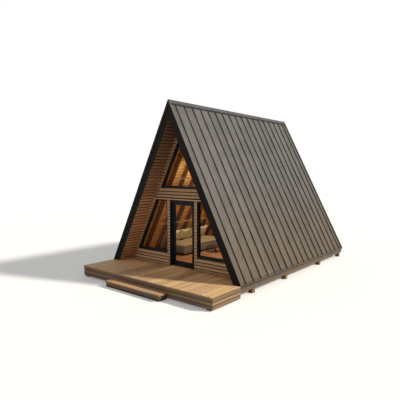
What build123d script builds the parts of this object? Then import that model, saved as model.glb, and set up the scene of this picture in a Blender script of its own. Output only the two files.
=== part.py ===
"""A-frame cabin: two steep metal roof planes that stand on a raised timber deck.

Millimetres. X runs to the right, Y to the back and Z up. The origin is on the
ground, in the middle of the cabin's footprint, and the door faces -Y.
"""
from build123d import *
import math
import os

# Roof planes
ROOF_HALF_WIDTH = 2678.0       # roof face to the centre line, at deck level
RIDGE_RISE = 5210.0            # top of the ridge above the deck
ROOF_LENGTH = 7260.0           # along the ridge, rake board to rake board
RAKE_WIDTH = 246.0             # width of the black rake, square to the slope
SHEET = 3.0                    # folded roof sheet
PAN_DEPTH = 32.0               # roof pans lie this far below the rake's edge
LINING = 18.0                  # boards of the soffit and of the room
SEAM_PITCH = 393.0
SEAM_FIRST = 270.0             # first seam behind the rake
SEAM_LEG = 5.0
SEAM_HEAD = 13.0
SEAM_FOLD = 7.0                # folded head, square to the slope
SEAM_START = 30.0              # seams start this far under the cap's edge
CAP_FLAP = 122.0               # ridge cap, along each slope
CAP_SEAT = 0.3                 # cap to the heads of the seams
CLOSURE = 18.0                 # strip that closes the cap between the seams
CLOSURE_SETBACK = 10.0
CLOSURE_GAP = 2.0              # strip to the seams beside it
RAKE_BOARD = 28.0
VERGE_BOARD = 12.0             # outer trim in front of the rake board
VERGE_WIDTH = 98.0
VERGE_RETURN = 62.0            # folded sheet over the rake's edge
VERGE_CAP_GAP = 1.0            # verge sheet starts this far below the ridge cap

# Deck, step and what stands under them
DECK_LEVEL = 360.0
DECK_SETBACK = 15.0            # deck edge inside the foot of the roof
DECK_PROJECTION = 1240.0       # in front of the rake
STEP_PROJECTION = 300.0
STEP_HALF_WIDTH = 1135.0
STEP_RISE = 180.0
DECK_BOARD = 36.0
NOSING = 22.0                  # boards stand over the skirt by this much
SKIRT_BOARD = 25.0
SKIRT_GAP = 36.0               # open strip between skirt and ground
JOIST_DEPTH = 160.0
JOIST_WIDTH = 60.0
JOIST_PITCH = 640.0
POST = 140.0
POST_ROWS = 5
RIM_BOARD = 45.0
RIM_INSET = 30.0               # rim boards behind the edge of the deck boards

# End walls
WALL_RECESS = 600.0            # front wall behind the rake
BACK_RECESS = 387.0
WALL = 163.0
HEAD_HEIGHT = 2146.0           # tops of door and lower windows
DOOR_HALF_WIDTH = 530.0        # outside of the door frame
SILL_HEIGHT = 377.0
WINDOW_INNER_X = 622.0
LOWER_MARGIN = 125.0           # glazing to the soffit, square to the slope
UPPER_SILL_HEIGHT = 2503.0
UPPER_MARGIN = 149.0
FRAME_FACE = 50.0
FRAME_SILL_FACE = 75.0
FRAME_DEPTH = 127.0
GLASS = 24.0
GLASS_RECESS = 88.0
GLASS_BITE = 14.0              # glass edge inside the frame's groove
CASING_WIDTH = 10.0
CASING_PROUD = 10.0
HEAD_TRIM_HEIGHT = 34.0
HEAD_TRIM_PROUD = 22.0

# Door
JAMB_FACE = 55.0
STOP = 12.0
THRESHOLD = 30.0
LEAF_THICKNESS = 44.0
LEAF_RECESS = 83.0
LEAF_GAP = 5.0
LOCK_GAP = 7.0
STILE = 105.0
TOP_RAIL = 100.0
BOTTOM_RAIL = 120.0
DOOR_GLASS = 20.0
KNUCKLE_RADIUS = 7.0
KNUCKLE_LENGTH = 50.0
HINGE_PLATE = 3.0
HINGE_PLATE_WIDTH = 26.0
HINGE_SEAT = 0.3               # leaf knuckle over frame knuckle
HINGE_FROM_END = 180.0
HINGE_CLEARANCE = 1.0          # knuckle to the leaf's face
HANDLE_HEIGHT = 1020.0
HANDLE_STAND_OFF = 42.0
HANDLE_LENGTH = 120.0
HANDLE_THICKNESS = 14.0
ROSE_RADIUS = 25.0
ROSE_THICKNESS = 8.0

# Room
RAFTER_WIDTH = 80.0
RAFTER_DEPTH = 140.0
RAFTER_PITCH = 570.0
RAFTER_FIRST = 1080.0          # centre of the first one behind the rake
RIDGE_BEAM_WIDTH = 100.0
RIDGE_BEAM_DEPTH = 300.0       # below the peak of the lining
LEDGE_HEIGHT = 1200.0
LEDGE_THICKNESS = 26.0
LEDGE_WIDTH = 110.0
PURLIN_HEIGHT = 2830.0
PURLIN_THICKNESS = 30.0
PURLIN_WIDTH = 45.0

# Seat and table that show through the glass
SOFA_DEPTH = 940.0
SOFA_OFF_SLOPE = 3.0           # top back edge of the seats to the rafters
SOFA_START = 1915.0            # near end behind the rake
SOFA_LENGTH = 2300.0
SOFA_SEATS = 3
SOFA_BASE = 290.0
PLINTH = 70.0                  # recessed foot of the sofa
PLINTH_SETBACK = 90.0
SEAT_CUSHION = 140.0
PILLOWS = 4
PILLOW = 150.0
PILLOW_WIDTH = 500.0
PILLOW_PITCH = 540.0
PILLOW_HEIGHT = 430.0
PILLOW_FIRST = 10.0            # first pillow from the sofa's near end
SOFT_GAP = 4.0                 # between cushions
SEATED = 0.3                   # soft piece to what carries it
TABLE_OFF_SOFA = 125.0
TABLE_START = 3086.0
TABLE_LENGTH = 480.0
TABLE_WIDTH = 420.0
TABLE_HEIGHT = 230.0
TABLE_TOP = 26.0
TABLE_LEG = 34.0

# Worked out from the sizes above
SLOPE = math.atan2(RIDGE_RISE, ROOF_HALF_WIDTH)
TAN = math.tan(SLOPE)
SIN = math.sin(SLOPE)
COS = math.cos(SLOPE)
RIDGE_Z = DECK_LEVEL + RIDGE_RISE
FOOTPRINT = ROOF_LENGTH + DECK_PROJECTION + STEP_PROJECTION
STEP_FRONT = -FOOTPRINT / 2
DECK_FRONT = STEP_FRONT + STEP_PROJECTION
RAKE_FRONT = DECK_FRONT + DECK_PROJECTION
RAKE_BACK = RAKE_FRONT + ROOF_LENGTH
WALL_FRONT = RAKE_FRONT + WALL_RECESS
WALL_FRONT_INNER = WALL_FRONT + WALL
WALL_BACK = RAKE_BACK - BACK_RECESS
WALL_BACK_INNER = WALL_BACK - WALL
DECK_HALF_WIDTH = ROOF_HALF_WIDTH - DECK_SETBACK
HEAD_Z = DECK_LEVEL + HEAD_HEIGHT
SILL_Z = DECK_LEVEL + SILL_HEIGHT
UPPER_SILL_Z = DECK_LEVEL + UPPER_SILL_HEIGHT
PLATFORM_BOTTOM = DECK_LEVEL - DECK_BOARD
JOIST_BOTTOM = PLATFORM_BOTTOM - JOIST_DEPTH
CUT_PAST = 5.0                 # cuts run this far past both faces


def slab(x0, x1, y0, y1, z0, z1):
    """Box between two corners."""
    size = (abs(x1 - x0), abs(y1 - y0), abs(z1 - z0))
    middle = ((x0 + x1) / 2, (y0 + y1) / 2, (z0 + z1) / 2)
    return Pos(*middle) * Box(*size)


def prism(outline, y0, y1):
    """Solid with an outline of (x, z) points, run from y0 to y1."""
    wire = Polyline(*[(x, y0, z) for x, z in outline], close=True)
    return extrude(make_face(wire), amount=y1 - y0, dir=(0, 1, 0))


def mirrored(shape):
    """The same piece on the other side of the centre line."""
    return mirror(shape, about=Plane.YZ)


def group(pieces):
    """Like pieces of one node, as solids that don't touch."""
    return Compound(children=[solid for piece in pieces for solid in piece.solids()])


def slope_z(depth, x=0.0):
    """Height at x of the plane that lies depth below the roof's outer plane."""
    return RIDGE_Z - depth / COS - x * TAN


def slope_x(depth, z):
    """Distance from the centre line of that plane, at height z."""
    return (RIDGE_Z - depth / COS - z) / TAN


def roof_layer(depth, thickness, y0, y1):
    """Right half of a roof layer, from the centre line down to its foot."""
    under = depth + thickness
    outline = [
        (0, slope_z(depth)),
        (slope_x(depth, DECK_LEVEL), DECK_LEVEL),
        (slope_x(under, DECK_LEVEL), DECK_LEVEL),
        (0, slope_z(under)),
    ]
    return prism(outline, y0, y1)


def inset(outline, margins):
    """Outline moved inwards; margins[i] belongs to the edge after point i."""
    count = len(outline)
    area = sum(
        outline[i][0] * outline[(i + 1) % count][1] - outline[(i + 1) % count][0] * outline[i][1]
        for i in range(count)
    )
    turn = 1.0 if area > 0 else -1.0
    lines = []
    for i in range(count):
        (ax, az), (bx, bz) = outline[i], outline[(i + 1) % count]
        length = math.hypot(bx - ax, bz - az)
        dx, dz = (bx - ax) / length, (bz - az) / length
        lines.append((ax - dz * turn * margins[i], az + dx * turn * margins[i], dx, dz))
    corners = []
    for i in range(count):
        ax, az, adx, adz = lines[i - 1]
        bx, bz, bdx, bdz = lines[i]
        along = ((bx - ax) * bdz - (bz - az) * bdx) / (adx * bdz - adz * bdx)
        corners.append((ax + adx * along, az + adz * along))
    return corners


def ring(outline, margins, y0, y1):
    """Closed frame between an outline and the same outline moved inwards."""
    hole = prism(inset(outline, margins), y0 - CUT_PAST, y1 + CUT_PAST)
    return prism(outline, y0, y1) - hole


# Outlines of the openings in the end walls, as (x, z) of the right half
lower_top_x = slope_x(RAKE_WIDTH + LOWER_MARGIN, HEAD_Z)
lower_bottom_x = slope_x(RAKE_WIDTH + LOWER_MARGIN, SILL_Z)
lower_window = [
    (WINDOW_INNER_X, SILL_Z),
    (lower_bottom_x, SILL_Z),
    (lower_top_x, HEAD_Z),
    (WINDOW_INNER_X, HEAD_Z),
]
lower_margins = [FRAME_SILL_FACE, FRAME_FACE, FRAME_FACE, FRAME_FACE]
upper_half_x = slope_x(RAKE_WIDTH + UPPER_MARGIN, UPPER_SILL_Z)
upper_window = [
    (-upper_half_x, UPPER_SILL_Z),
    (upper_half_x, UPPER_SILL_Z),
    (0, slope_z(RAKE_WIDTH + UPPER_MARGIN)),
]
upper_margins = [FRAME_SILL_FACE, FRAME_FACE, FRAME_FACE]


def end_wall_side(y0, y1, inner_x):
    """Right side of an end wall below the heads, cut out for its window."""
    outline = [
        (inner_x, DECK_LEVEL),
        (slope_x(RAKE_WIDTH, DECK_LEVEL), DECK_LEVEL),
        (slope_x(RAKE_WIDTH, HEAD_Z), HEAD_Z),
        (inner_x, HEAD_Z),
    ]
    return prism(outline, y0, y1) - prism(lower_window, y0 - CUT_PAST, y1 + CUT_PAST)


def end_wall_top(y0, y1):
    """Triangle of an end wall above the heads, cut out for its window."""
    outline = [
        (-slope_x(RAKE_WIDTH, HEAD_Z), HEAD_Z),
        (slope_x(RAKE_WIDTH, HEAD_Z), HEAD_Z),
        (0, slope_z(RAKE_WIDTH)),
    ]
    return prism(outline, y0, y1) - prism(upper_window, y0 - CUT_PAST, y1 + CUT_PAST)


def pane(outline, margins, y0, y1):
    """Glass that reaches into the groove of a frame."""
    return prism(inset(outline, [margin - GLASS_BITE for margin in margins]), y0, y1)


def pane_span(y_face, inwards):
    """Front and back of the glass behind the outer face of an end wall."""
    y_glass = y_face + inwards * GLASS_RECESS
    return sorted([y_glass, y_glass + inwards * GLASS])


def window_frames(y_face, inwards):
    """Three grooved window frames of one end wall; inwards is +1 at the front."""
    y0, y1 = sorted([y_face, y_face + inwards * FRAME_DEPTH])
    g0, g1 = pane_span(y_face, inwards)
    right = ring(lower_window, lower_margins, y0, y1) - pane(lower_window, lower_margins, g0, g1)
    top = ring(upper_window, upper_margins, y0, y1) - pane(upper_window, upper_margins, g0, g1)
    return [right, mirrored(right), top]


def window_panes(y_face, inwards):
    """Three panes of one end wall."""
    g0, g1 = pane_span(y_face, inwards)
    right = pane(lower_window, lower_margins, g0, g1)
    top = pane(upper_window, upper_margins, g0, g1)
    return [right, mirrored(right), top]


def head_trim(y0, y1):
    """Level strip across an end wall, over the door and lower windows."""
    half = slope_x(RAKE_WIDTH, HEAD_Z + HEAD_TRIM_HEIGHT)
    return slab(-half, half, y0, y1, HEAD_Z, HEAD_Z + HEAD_TRIM_HEIGHT)


def casings(y_face, outwards, with_door):
    """Thin timber strips round the openings of one end wall."""
    y0, y1 = sorted([y_face, y_face + outwards * CASING_PROUD])
    around = -CASING_WIDTH
    right_outer = inset(lower_window, [around, around, 0, around])
    right = prism(right_outer, y0, y1) - prism(lower_window, y0 - CUT_PAST, y1 + CUT_PAST)
    top_outer = inset(upper_window, [around, around, around])
    top = prism(top_outer, y0, y1) - prism(upper_window, y0 - CUT_PAST, y1 + CUT_PAST)
    pieces = [right, mirrored(right), top]
    if with_door:
        strip = slab(
            DOOR_HALF_WIDTH, DOOR_HALF_WIDTH + CASING_WIDTH, y0, y1, DECK_LEVEL, HEAD_Z
        )
        pieces += [strip, mirrored(strip)]
    return pieces


# Ground frame: joists lie across between two rim boards, on three rows of posts
joist_half = DECK_HALF_WIDTH - RIM_INSET - RIM_BOARD
joist_start = DECK_FRONT + NOSING + SKIRT_BOARD
joist_end = RAKE_BACK - RIM_BOARD
joist_count = int((joist_end - joist_start - JOIST_WIDTH) // JOIST_PITCH) + 1
joist_step = (joist_end - joist_start - JOIST_WIDTH) / (joist_count - 1)


def make_posts():
    """Square posts on the ground, each one under a joist."""
    x_side = joist_half - POST
    posts = []
    for row in range(POST_ROWS):
        under = round(row * (joist_count - 1) / (POST_ROWS - 1))
        y = joist_start + under * joist_step + (JOIST_WIDTH - POST) / 2
        y = min(max(y, joist_start), joist_end - POST)
        for x in (-joist_half, -POST / 2, x_side):
            posts.append(slab(x, x + POST, y, y + POST, 0, JOIST_BOTTOM))
    return group(posts)


def make_joists():
    """Cross joists under the deck and the floor."""
    joists = []
    for i in range(joist_count):
        y = joist_start + i * joist_step
        joists.append(
            slab(-joist_half, joist_half, y, y + JOIST_WIDTH, JOIST_BOTTOM, PLATFORM_BOTTOM)
        )
    return group(joists)


def make_rims():
    """Rim boards along both eaves and across the back, over the joist ends."""
    right = slab(
        joist_half, joist_half + RIM_BOARD, joist_start, RAKE_BACK, JOIST_BOTTOM, PLATFORM_BOTTOM
    )
    back = slab(-joist_half, joist_half, joist_end, RAKE_BACK, JOIST_BOTTOM, PLATFORM_BOTTOM)
    return right + mirrored(right) + back


def make_skirt():
    """Skirt under the front edge of the deck, returned along its sides to the roof."""
    y0 = DECK_FRONT + NOSING
    y1 = y0 + SKIRT_BOARD
    half = joist_half + RIM_BOARD + SKIRT_BOARD
    front = slab(-half, half, y0, y1, SKIRT_GAP, PLATFORM_BOTTOM)
    side = slab(half - SKIRT_BOARD, half, y1, RAKE_FRONT, SKIRT_GAP, PLATFORM_BOTTOM)
    return front + side + mirrored(side)


def make_step():
    """Box step in front of the deck: riser boards all round, open behind."""
    z_top = DECK_LEVEL - STEP_RISE - DECK_BOARD
    y0 = STEP_FRONT + NOSING
    y1 = DECK_FRONT + NOSING
    half = STEP_HALF_WIDTH - NOSING
    outer = slab(-half, half, y0, y1, 0, z_top)
    inner = half - SKIRT_BOARD
    hollow = slab(-inner, inner, y0 + SKIRT_BOARD, y1 + CUT_PAST, -CUT_PAST, z_top + CUT_PAST)
    return outer - hollow


def seam_places():
    """Middle of each standing seam along the roof."""
    count = int((ROOF_LENGTH - SEAM_FIRST - VERGE_RETURN) // SEAM_PITCH) + 1
    return [RAKE_FRONT + SEAM_FIRST + i * SEAM_PITCH for i in range(count)]


def make_skin():
    """Right roof sheet: flat pans between standing seams with folded heads."""
    y0, y1 = RAKE_FRONT + RAKE_BOARD + VERGE_BOARD, RAKE_BACK - RAKE_BOARD
    sheet = roof_layer(PAN_DEPTH, SHEET, y0, y1)
    top = (CAP_FLAP - SEAM_START) * COS
    seams = []
    lower = PAN_DEPTH + SHEET / 2
    upper = SHEET + CAP_SEAT
    neck = upper + SEAM_FOLD
    for y in seam_places():
        leg = seam_bar(lower, upper, y - SEAM_LEG / 2, y + SEAM_LEG / 2, top)
        head = seam_bar(neck, upper, y - SEAM_LEG / 2, y - SEAM_LEG / 2 + SEAM_HEAD, top)
        seams.append(leg + head)
    return sheet + seams


def seam_bar(lower, upper, y0, y1, x_top):
    """Bar that runs down the right slope between two depths."""
    outline = [
        (x_top, slope_z(upper, x_top)),
        (slope_x(upper, DECK_LEVEL), DECK_LEVEL),
        (slope_x(lower, DECK_LEVEL), DECK_LEVEL),
        (x_top, slope_z(lower, x_top)),
    ]
    return prism(outline, y0, y1)


def slope_strip(upper, lower, from_ridge, width, y0, y1):
    """Strip on the right slope, width down the slope, between two depths."""
    x0, x1 = from_ridge * COS, (from_ridge + width) * COS
    outline = [
        (x0, slope_z(upper, x0)),
        (x1, slope_z(upper, x1)),
        (x1, slope_z(lower, x1)),
        (x0, slope_z(lower, x0)),
    ]
    return prism(outline, y0, y1)


def make_ridge_cap():
    """Folded sheet over the ridge, stood on closure strips between the seams."""
    right = slope_strip(0, SHEET, 0, CAP_FLAP, RAKE_FRONT, RAKE_BACK)
    edges = [RAKE_FRONT + VERGE_RETURN - CLOSURE_GAP]
    for seam in seam_places():
        edges += [seam - SEAM_LEG / 2, seam - SEAM_LEG / 2 + SEAM_HEAD]
    edges += [RAKE_BACK - VERGE_RETURN + CLOSURE_GAP]
    place = CAP_FLAP - CLOSURE_SETBACK - CLOSURE
    for y0, y1 in zip(edges[0::2], edges[1::2]):
        right += slope_strip(
            SHEET / 2, PAN_DEPTH, place, CLOSURE, y0 + CLOSURE_GAP, y1 - CLOSURE_GAP
        )
    return right + mirrored(right)


def make_verge(y_rake, inwards):
    """Right verge: folded sheet over the rake's edge, down to the pans."""
    y0, y1 = sorted([y_rake, y_rake + inwards * VERGE_RETURN])
    top = (CAP_FLAP + VERGE_CAP_GAP) * COS
    over = seam_bar(SHEET, 0, y0, y1, top)
    y_edge = y_rake + inwards * VERGE_RETURN
    y2, y3 = sorted([y_edge - inwards * SHEET, y_edge])
    return over + seam_bar(PAN_DEPTH, 0, y2, y3, top)


def make_rafters():
    """Right row of rafters, from the floor to the ridge beam."""
    y_last = WALL_BACK_INNER - RAFTER_WIDTH
    x_top = RIDGE_BEAM_WIDTH / 2
    deep = RAKE_WIDTH + RAFTER_DEPTH
    rafters = []
    y = RAKE_FRONT + RAFTER_FIRST - RAFTER_WIDTH / 2
    while y < y_last:
        outline = [
            (x_top, slope_z(RAKE_WIDTH, x_top)),
            (slope_x(RAKE_WIDTH, DECK_LEVEL), DECK_LEVEL),
            (slope_x(deep, DECK_LEVEL), DECK_LEVEL),
            (x_top, slope_z(deep, x_top)),
        ]
        rafters.append(prism(outline, y, y + RAFTER_WIDTH))
        y += RAFTER_PITCH
    return rafters


def make_ridge_beam():
    """Beam under the peak of the lining, between the end walls."""
    half = RIDGE_BEAM_WIDTH / 2
    peak = slope_z(RAKE_WIDTH)
    outline = [
        (0, peak),
        (half, slope_z(RAKE_WIDTH, half)),
        (half, peak - RIDGE_BEAM_DEPTH),
        (-half, peak - RIDGE_BEAM_DEPTH),
        (-half, slope_z(RAKE_WIDTH, half)),
    ]
    return prism(outline, WALL_FRONT_INNER, WALL_BACK_INNER)


def rail_on_rafters(height, thickness, width):
    """Level rail on the inner faces of the right rafters, from the first one to the back wall."""
    z1 = DECK_LEVEL + height
    z0 = z1 - thickness
    deep = RAKE_WIDTH + RAFTER_DEPTH
    outline = [
        (slope_x(deep, z1), z1),
        (slope_x(deep, z1) - width, z1),
        (slope_x(deep, z1) - width, z0),
        (slope_x(deep, z0), z0),
    ]
    return prism(outline, RAKE_FRONT + RAFTER_FIRST - RAFTER_WIDTH / 2, WALL_BACK_INNER)


def make_door_frame():
    """Two jambs and a head, with the stop that the leaf closes against."""
    y0, y1 = WALL_FRONT, WALL_FRONT + FRAME_DEPTH
    y_stop = WALL_FRONT + LEAF_RECESS - LEAF_GAP
    inner = DOOR_HALF_WIDTH - JAMB_FACE
    outer = slab(-DOOR_HALF_WIDTH, DOOR_HALF_WIDTH, y0, y1, DECK_LEVEL, HEAD_Z)
    z_cut = DECK_LEVEL - CUT_PAST
    rebate = slab(-inner, inner, y0 - CUT_PAST, y1 + CUT_PAST, z_cut, HEAD_Z - JAMB_FACE)
    stop_outer = slab(-inner, inner, y0, y_stop, DECK_LEVEL, HEAD_Z - JAMB_FACE)
    stop_inner = slab(
        -inner + STOP,
        inner - STOP,
        y0 - CUT_PAST,
        y_stop + CUT_PAST,
        z_cut,
        HEAD_Z - JAMB_FACE - STOP,
    )
    return outer - rebate + (stop_outer - stop_inner)


# Door leaf, worked out from the frame that it closes
leaf_x0 = -(DOOR_HALF_WIDTH - JAMB_FACE) + LEAF_GAP
leaf_x1 = DOOR_HALF_WIDTH - JAMB_FACE - LOCK_GAP
leaf_y0 = WALL_FRONT + LEAF_RECESS
leaf_y1 = leaf_y0 + LEAF_THICKNESS
leaf_z0 = DECK_LEVEL + THRESHOLD + LEAF_GAP
leaf_z1 = HEAD_Z - JAMB_FACE - LEAF_GAP
hinge_x = leaf_x0 - LEAF_GAP / 2
hinge_y = leaf_y1 + KNUCKLE_RADIUS + HINGE_CLEARANCE
hinge_heights = [leaf_z0 + HINGE_FROM_END, (leaf_z0 + leaf_z1) / 2, leaf_z1 - HINGE_FROM_END]


def leaf_field(bite, y0, y1):
    """The field inside stiles and rails, grown by bite on all sides."""
    return slab(
        leaf_x0 + STILE - bite,
        leaf_x1 - STILE + bite,
        y0,
        y1,
        leaf_z0 + BOTTOM_RAIL - bite,
        leaf_z1 - TOP_RAIL + bite,
    )


def make_door_glass():
    """Pane in the middle of the leaf's thickness, held in its groove."""
    y0 = (leaf_y0 + leaf_y1 - DOOR_GLASS) / 2
    return leaf_field(GLASS_BITE, y0, y0 + DOOR_GLASS)


def make_leaf():
    """Stiles and rails of the glazed door leaf, with a groove for its pane."""
    outer = slab(leaf_x0, leaf_x1, leaf_y0, leaf_y1, leaf_z0, leaf_z1)
    field = leaf_field(0, leaf_y0 - CUT_PAST, leaf_y1 + CUT_PAST)
    return outer - field - make_door_glass()


def hinge_half(z_bottom, plate_x0, plate_x1):
    """One knuckle with its plate, fixed to the face that it lies on."""
    knuckle = Pos(hinge_x, hinge_y, z_bottom) * Cylinder(
        KNUCKLE_RADIUS, KNUCKLE_LENGTH, align=(Align.CENTER, Align.CENTER, Align.MIN)
    )
    z_top = z_bottom + KNUCKLE_LENGTH
    return knuckle + slab(plate_x0, plate_x1, leaf_y1, leaf_y1 + HINGE_PLATE, z_bottom, z_top)


def make_hinges(on_leaf):
    """Lift-off hinges: the leaf's knuckle stands over the frame's knuckle."""
    halves = []
    for z in hinge_heights:
        if on_leaf:
            halves.append(hinge_half(z, hinge_x, hinge_x + HINGE_PLATE_WIDTH))
        else:
            z_bottom = z - HINGE_SEAT - KNUCKLE_LENGTH
            halves.append(hinge_half(z_bottom, hinge_x - HINGE_PLATE_WIDTH, hinge_x))
    return group(halves)


def make_handles():
    """Round lever on a round rose, on each face of the leaf."""
    x = leaf_x1 - STILE / 2
    z = DECK_LEVEL + HANDLE_HEIGHT
    radius = HANDLE_THICKNESS / 2
    levers = []
    for face_y, out in ((leaf_y0, -1), (leaf_y1, 1)):
        rose = Pos(x, face_y + out * ROSE_THICKNESS / 2, z) * Rot(90, 0, 0) * Cylinder(
            ROSE_RADIUS, ROSE_THICKNESS
        )
        neck = Pos(x, face_y + out * HANDLE_STAND_OFF / 2, z) * Rot(90, 0, 0) * Cylinder(
            radius, HANDLE_STAND_OFF
        )
        elbow = Pos(x, face_y + out * HANDLE_STAND_OFF, z) * Sphere(radius)
        lever = Pos(x - HANDLE_LENGTH / 2, face_y + out * HANDLE_STAND_OFF, z) * Rot(
            0, 90, 0
        ) * Cylinder(radius, HANDLE_LENGTH)
        levers.append(rose + neck + elbow + lever)
    return group(levers)


rafter_face = RAKE_WIDTH + RAFTER_DEPTH
seat_z = DECK_LEVEL + SOFA_BASE + SEATED + SEAT_CUSHION
sofa_x0 = -slope_x(rafter_face, seat_z) + SOFA_OFF_SLOPE
sofa_x1 = sofa_x0 + SOFA_DEPTH


def make_sofa_base():
    """Low platform of the sofa along the left slope, on a recessed plinth."""
    y0 = RAKE_FRONT + SOFA_START
    y1 = y0 + SOFA_LENGTH
    z0 = DECK_LEVEL + PLINTH
    base = slab(sofa_x0, sofa_x1, y0, y1, z0, DECK_LEVEL + SOFA_BASE)
    foot = slab(
        sofa_x0, sofa_x1 - PLINTH_SETBACK, y0 + PLINTH_SETBACK, y1 - PLINTH_SETBACK, DECK_LEVEL, z0
    )
    return base + foot


def sofa_places():
    """Start and end of each seat along the sofa."""
    y0 = RAKE_FRONT + SOFA_START
    seat = SOFA_LENGTH / SOFA_SEATS
    return [
        (y0 + i * seat + SOFT_GAP / 2, y0 + (i + 1) * seat - SOFT_GAP / 2)
        for i in range(SOFA_SEATS)
    ]


def make_seat_cushions():
    """Seat cushions on the platform."""
    z0 = seat_z - SEAT_CUSHION
    return group([slab(sofa_x0, sofa_x1, y0, y1, z0, seat_z) for y0, y1 in sofa_places()])


def make_pillows():
    """Back cushions that lean on the rafters of the left slope."""
    deep = rafter_face + SEATED
    z0 = seat_z + SEATED
    z1 = z0 + PILLOW_HEIGHT
    outline = [
        (-slope_x(deep, z0), z0),
        (-slope_x(deep, z1), z1),
        (-slope_x(deep + PILLOW, z1), z1),
        (-slope_x(deep + PILLOW, z0), z0),
    ]
    first = RAKE_FRONT + SOFA_START + PILLOW_FIRST
    starts = [first + i * PILLOW_PITCH for i in range(PILLOWS)]
    return group([prism(outline, y, y + PILLOW_WIDTH) for y in starts])


def make_table():
    """Low table with four square legs."""
    x0 = sofa_x1 + TABLE_OFF_SOFA
    x1 = x0 + TABLE_WIDTH
    y0 = RAKE_FRONT + TABLE_START
    y1 = y0 + TABLE_LENGTH
    z1 = DECK_LEVEL + TABLE_HEIGHT
    top = slab(x0, x1, y0, y1, z1 - TABLE_TOP, z1)
    table = top
    for x in (x0, x1 - TABLE_LEG):
        for y in (y0, y1 - TABLE_LEG):
            table += slab(x, x + TABLE_LEG, y, y + TABLE_LEG, DECK_LEVEL, z1 - TABLE_TOP)
    return table


rake_y0 = RAKE_FRONT + VERGE_BOARD
rake_y1 = rake_y0 + RAKE_BOARD
inside_y1 = RAKE_BACK - RAKE_BOARD
core_depth = PAN_DEPTH + SHEET
core = roof_layer(core_depth, RAKE_WIDTH - LINING - core_depth, rake_y1, inside_y1)
lining = roof_layer(RAKE_WIDTH - LINING, LINING, rake_y1, inside_y1)
skin = make_skin()
front_rake = roof_layer(SHEET, RAKE_WIDTH - SHEET, rake_y0, rake_y1)
back_rake = roof_layer(SHEET, RAKE_WIDTH - SHEET, inside_y1, RAKE_BACK)
front_trim = roof_layer(SHEET, VERGE_WIDTH, RAKE_FRONT, rake_y0)
verges = [make_verge(RAKE_FRONT, 1), make_verge(RAKE_BACK, -1)]
verges += [mirrored(verge) for verge in verges]
rafters = make_rafters()
rafters += [mirrored(rafter) for rafter in rafters]
head_trims = [
    head_trim(WALL_FRONT - HEAD_TRIM_PROUD, WALL_FRONT),
    head_trim(WALL_BACK, WALL_BACK + HEAD_TRIM_PROUD),
]
wall_side = end_wall_side(WALL_FRONT, WALL_FRONT_INNER, DOOR_HALF_WIDTH)
back_side = end_wall_side(WALL_BACK_INNER, WALL_BACK, 0)
ledge = rail_on_rafters(LEDGE_HEIGHT, LEDGE_THICKNESS, LEDGE_WIDTH)
purlin = rail_on_rafters(PURLIN_HEIGHT, PURLIN_THICKNESS, PURLIN_WIDTH)
tread_z = DECK_LEVEL - STEP_RISE
half = DECK_HALF_WIDTH

nodes = {
    "posts": make_posts(),
    "joists": make_joists(),
    "rim_boards": make_rims(),
    "deck": slab(-half, half, DECK_FRONT, WALL_FRONT, PLATFORM_BOTTOM, DECK_LEVEL),
    "floor": slab(-half, half, WALL_FRONT, RAKE_BACK, PLATFORM_BOTTOM, DECK_LEVEL),
    "deck_skirt": make_skirt(),
    "step_tread": slab(
        -STEP_HALF_WIDTH, STEP_HALF_WIDTH, STEP_FRONT, DECK_FRONT + NOSING, tread_z - DECK_BOARD, tread_z
    ),
    "step_riser": make_step(),
    "front_wall_right": wall_side,
    "front_wall_left": mirrored(wall_side),
    "front_wall_top": end_wall_top(WALL_FRONT, WALL_FRONT_INNER),
    "back_wall_right": back_side,
    "back_wall_left": mirrored(back_side),
    "back_wall_top": end_wall_top(WALL_BACK_INNER, WALL_BACK),
    "front_window_frames": group(window_frames(WALL_FRONT, 1)),
    "back_window_frames": group(window_frames(WALL_BACK, -1)),
    "window_glass": group(window_panes(WALL_FRONT, 1) + window_panes(WALL_BACK, -1)),
    "casings": group(casings(WALL_FRONT, -1, True) + casings(WALL_BACK, 1, False)),
    "head_trims": group(head_trims),
    "door_frame": make_door_frame(),
    "threshold": slab(
        -(DOOR_HALF_WIDTH - JAMB_FACE),
        DOOR_HALF_WIDTH - JAMB_FACE,
        WALL_FRONT + LEAF_RECESS - LEAF_GAP,
        WALL_FRONT + FRAME_DEPTH,
        DECK_LEVEL,
        DECK_LEVEL + THRESHOLD,
    ),
    "frame_hinges": make_hinges(False),
    "door_leaf": make_leaf(),
    "door_glass": make_door_glass(),
    "leaf_hinges": make_hinges(True),
    "door_handles": make_handles(),
    "roof_core_right": core,
    "roof_core_left": mirrored(core),
    "lining_right": lining,
    "lining_left": mirrored(lining),
    "roof_skin_right": skin,
    "roof_skin_left": mirrored(skin),
    "ridge_cap": make_ridge_cap(),
    "front_rake_right": front_rake,
    "front_rake_left": mirrored(front_rake),
    "back_rake_right": back_rake,
    "back_rake_left": mirrored(back_rake),
    "rake_trim": front_trim + mirrored(front_trim),
    "verge_sheets": group(verges),
    "ridge_beam": make_ridge_beam(),
    "rafters": group(rafters),
    "ledges": group([ledge, mirrored(ledge)]),
    "purlins": group([purlin, mirrored(purlin)]),
    "sofa_base": make_sofa_base(),
    "sofa_seats": make_seat_cushions(),
    "sofa_pillows": make_pillows(),
    "coffee_table": make_table(),
}

os.makedirs("parts", exist_ok=True)
for name, shape in nodes.items():
    export_step(shape, f"parts/{name}.step")
    print(name, len(shape.solids()), round(shape.volume / 1e6, 2))
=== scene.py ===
# %% [markdown]
# # An a-frame cabin on a raised deck
# The cabin is a small timber house. Its two steep roof planes are also its side walls,
# and they stand on a deck that reaches out in front of the glazed gable. The solid
# pieces already exist at their real size. This lesson loads them, keeps each one whose
# shape is right, and makes boards, gaskets, cushions and finishes around them.
# Everything is in metres: X to the right, Y to the back, Z up, the ground at Z = 0.

# %% Load the solid pieces
import math
import random

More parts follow.
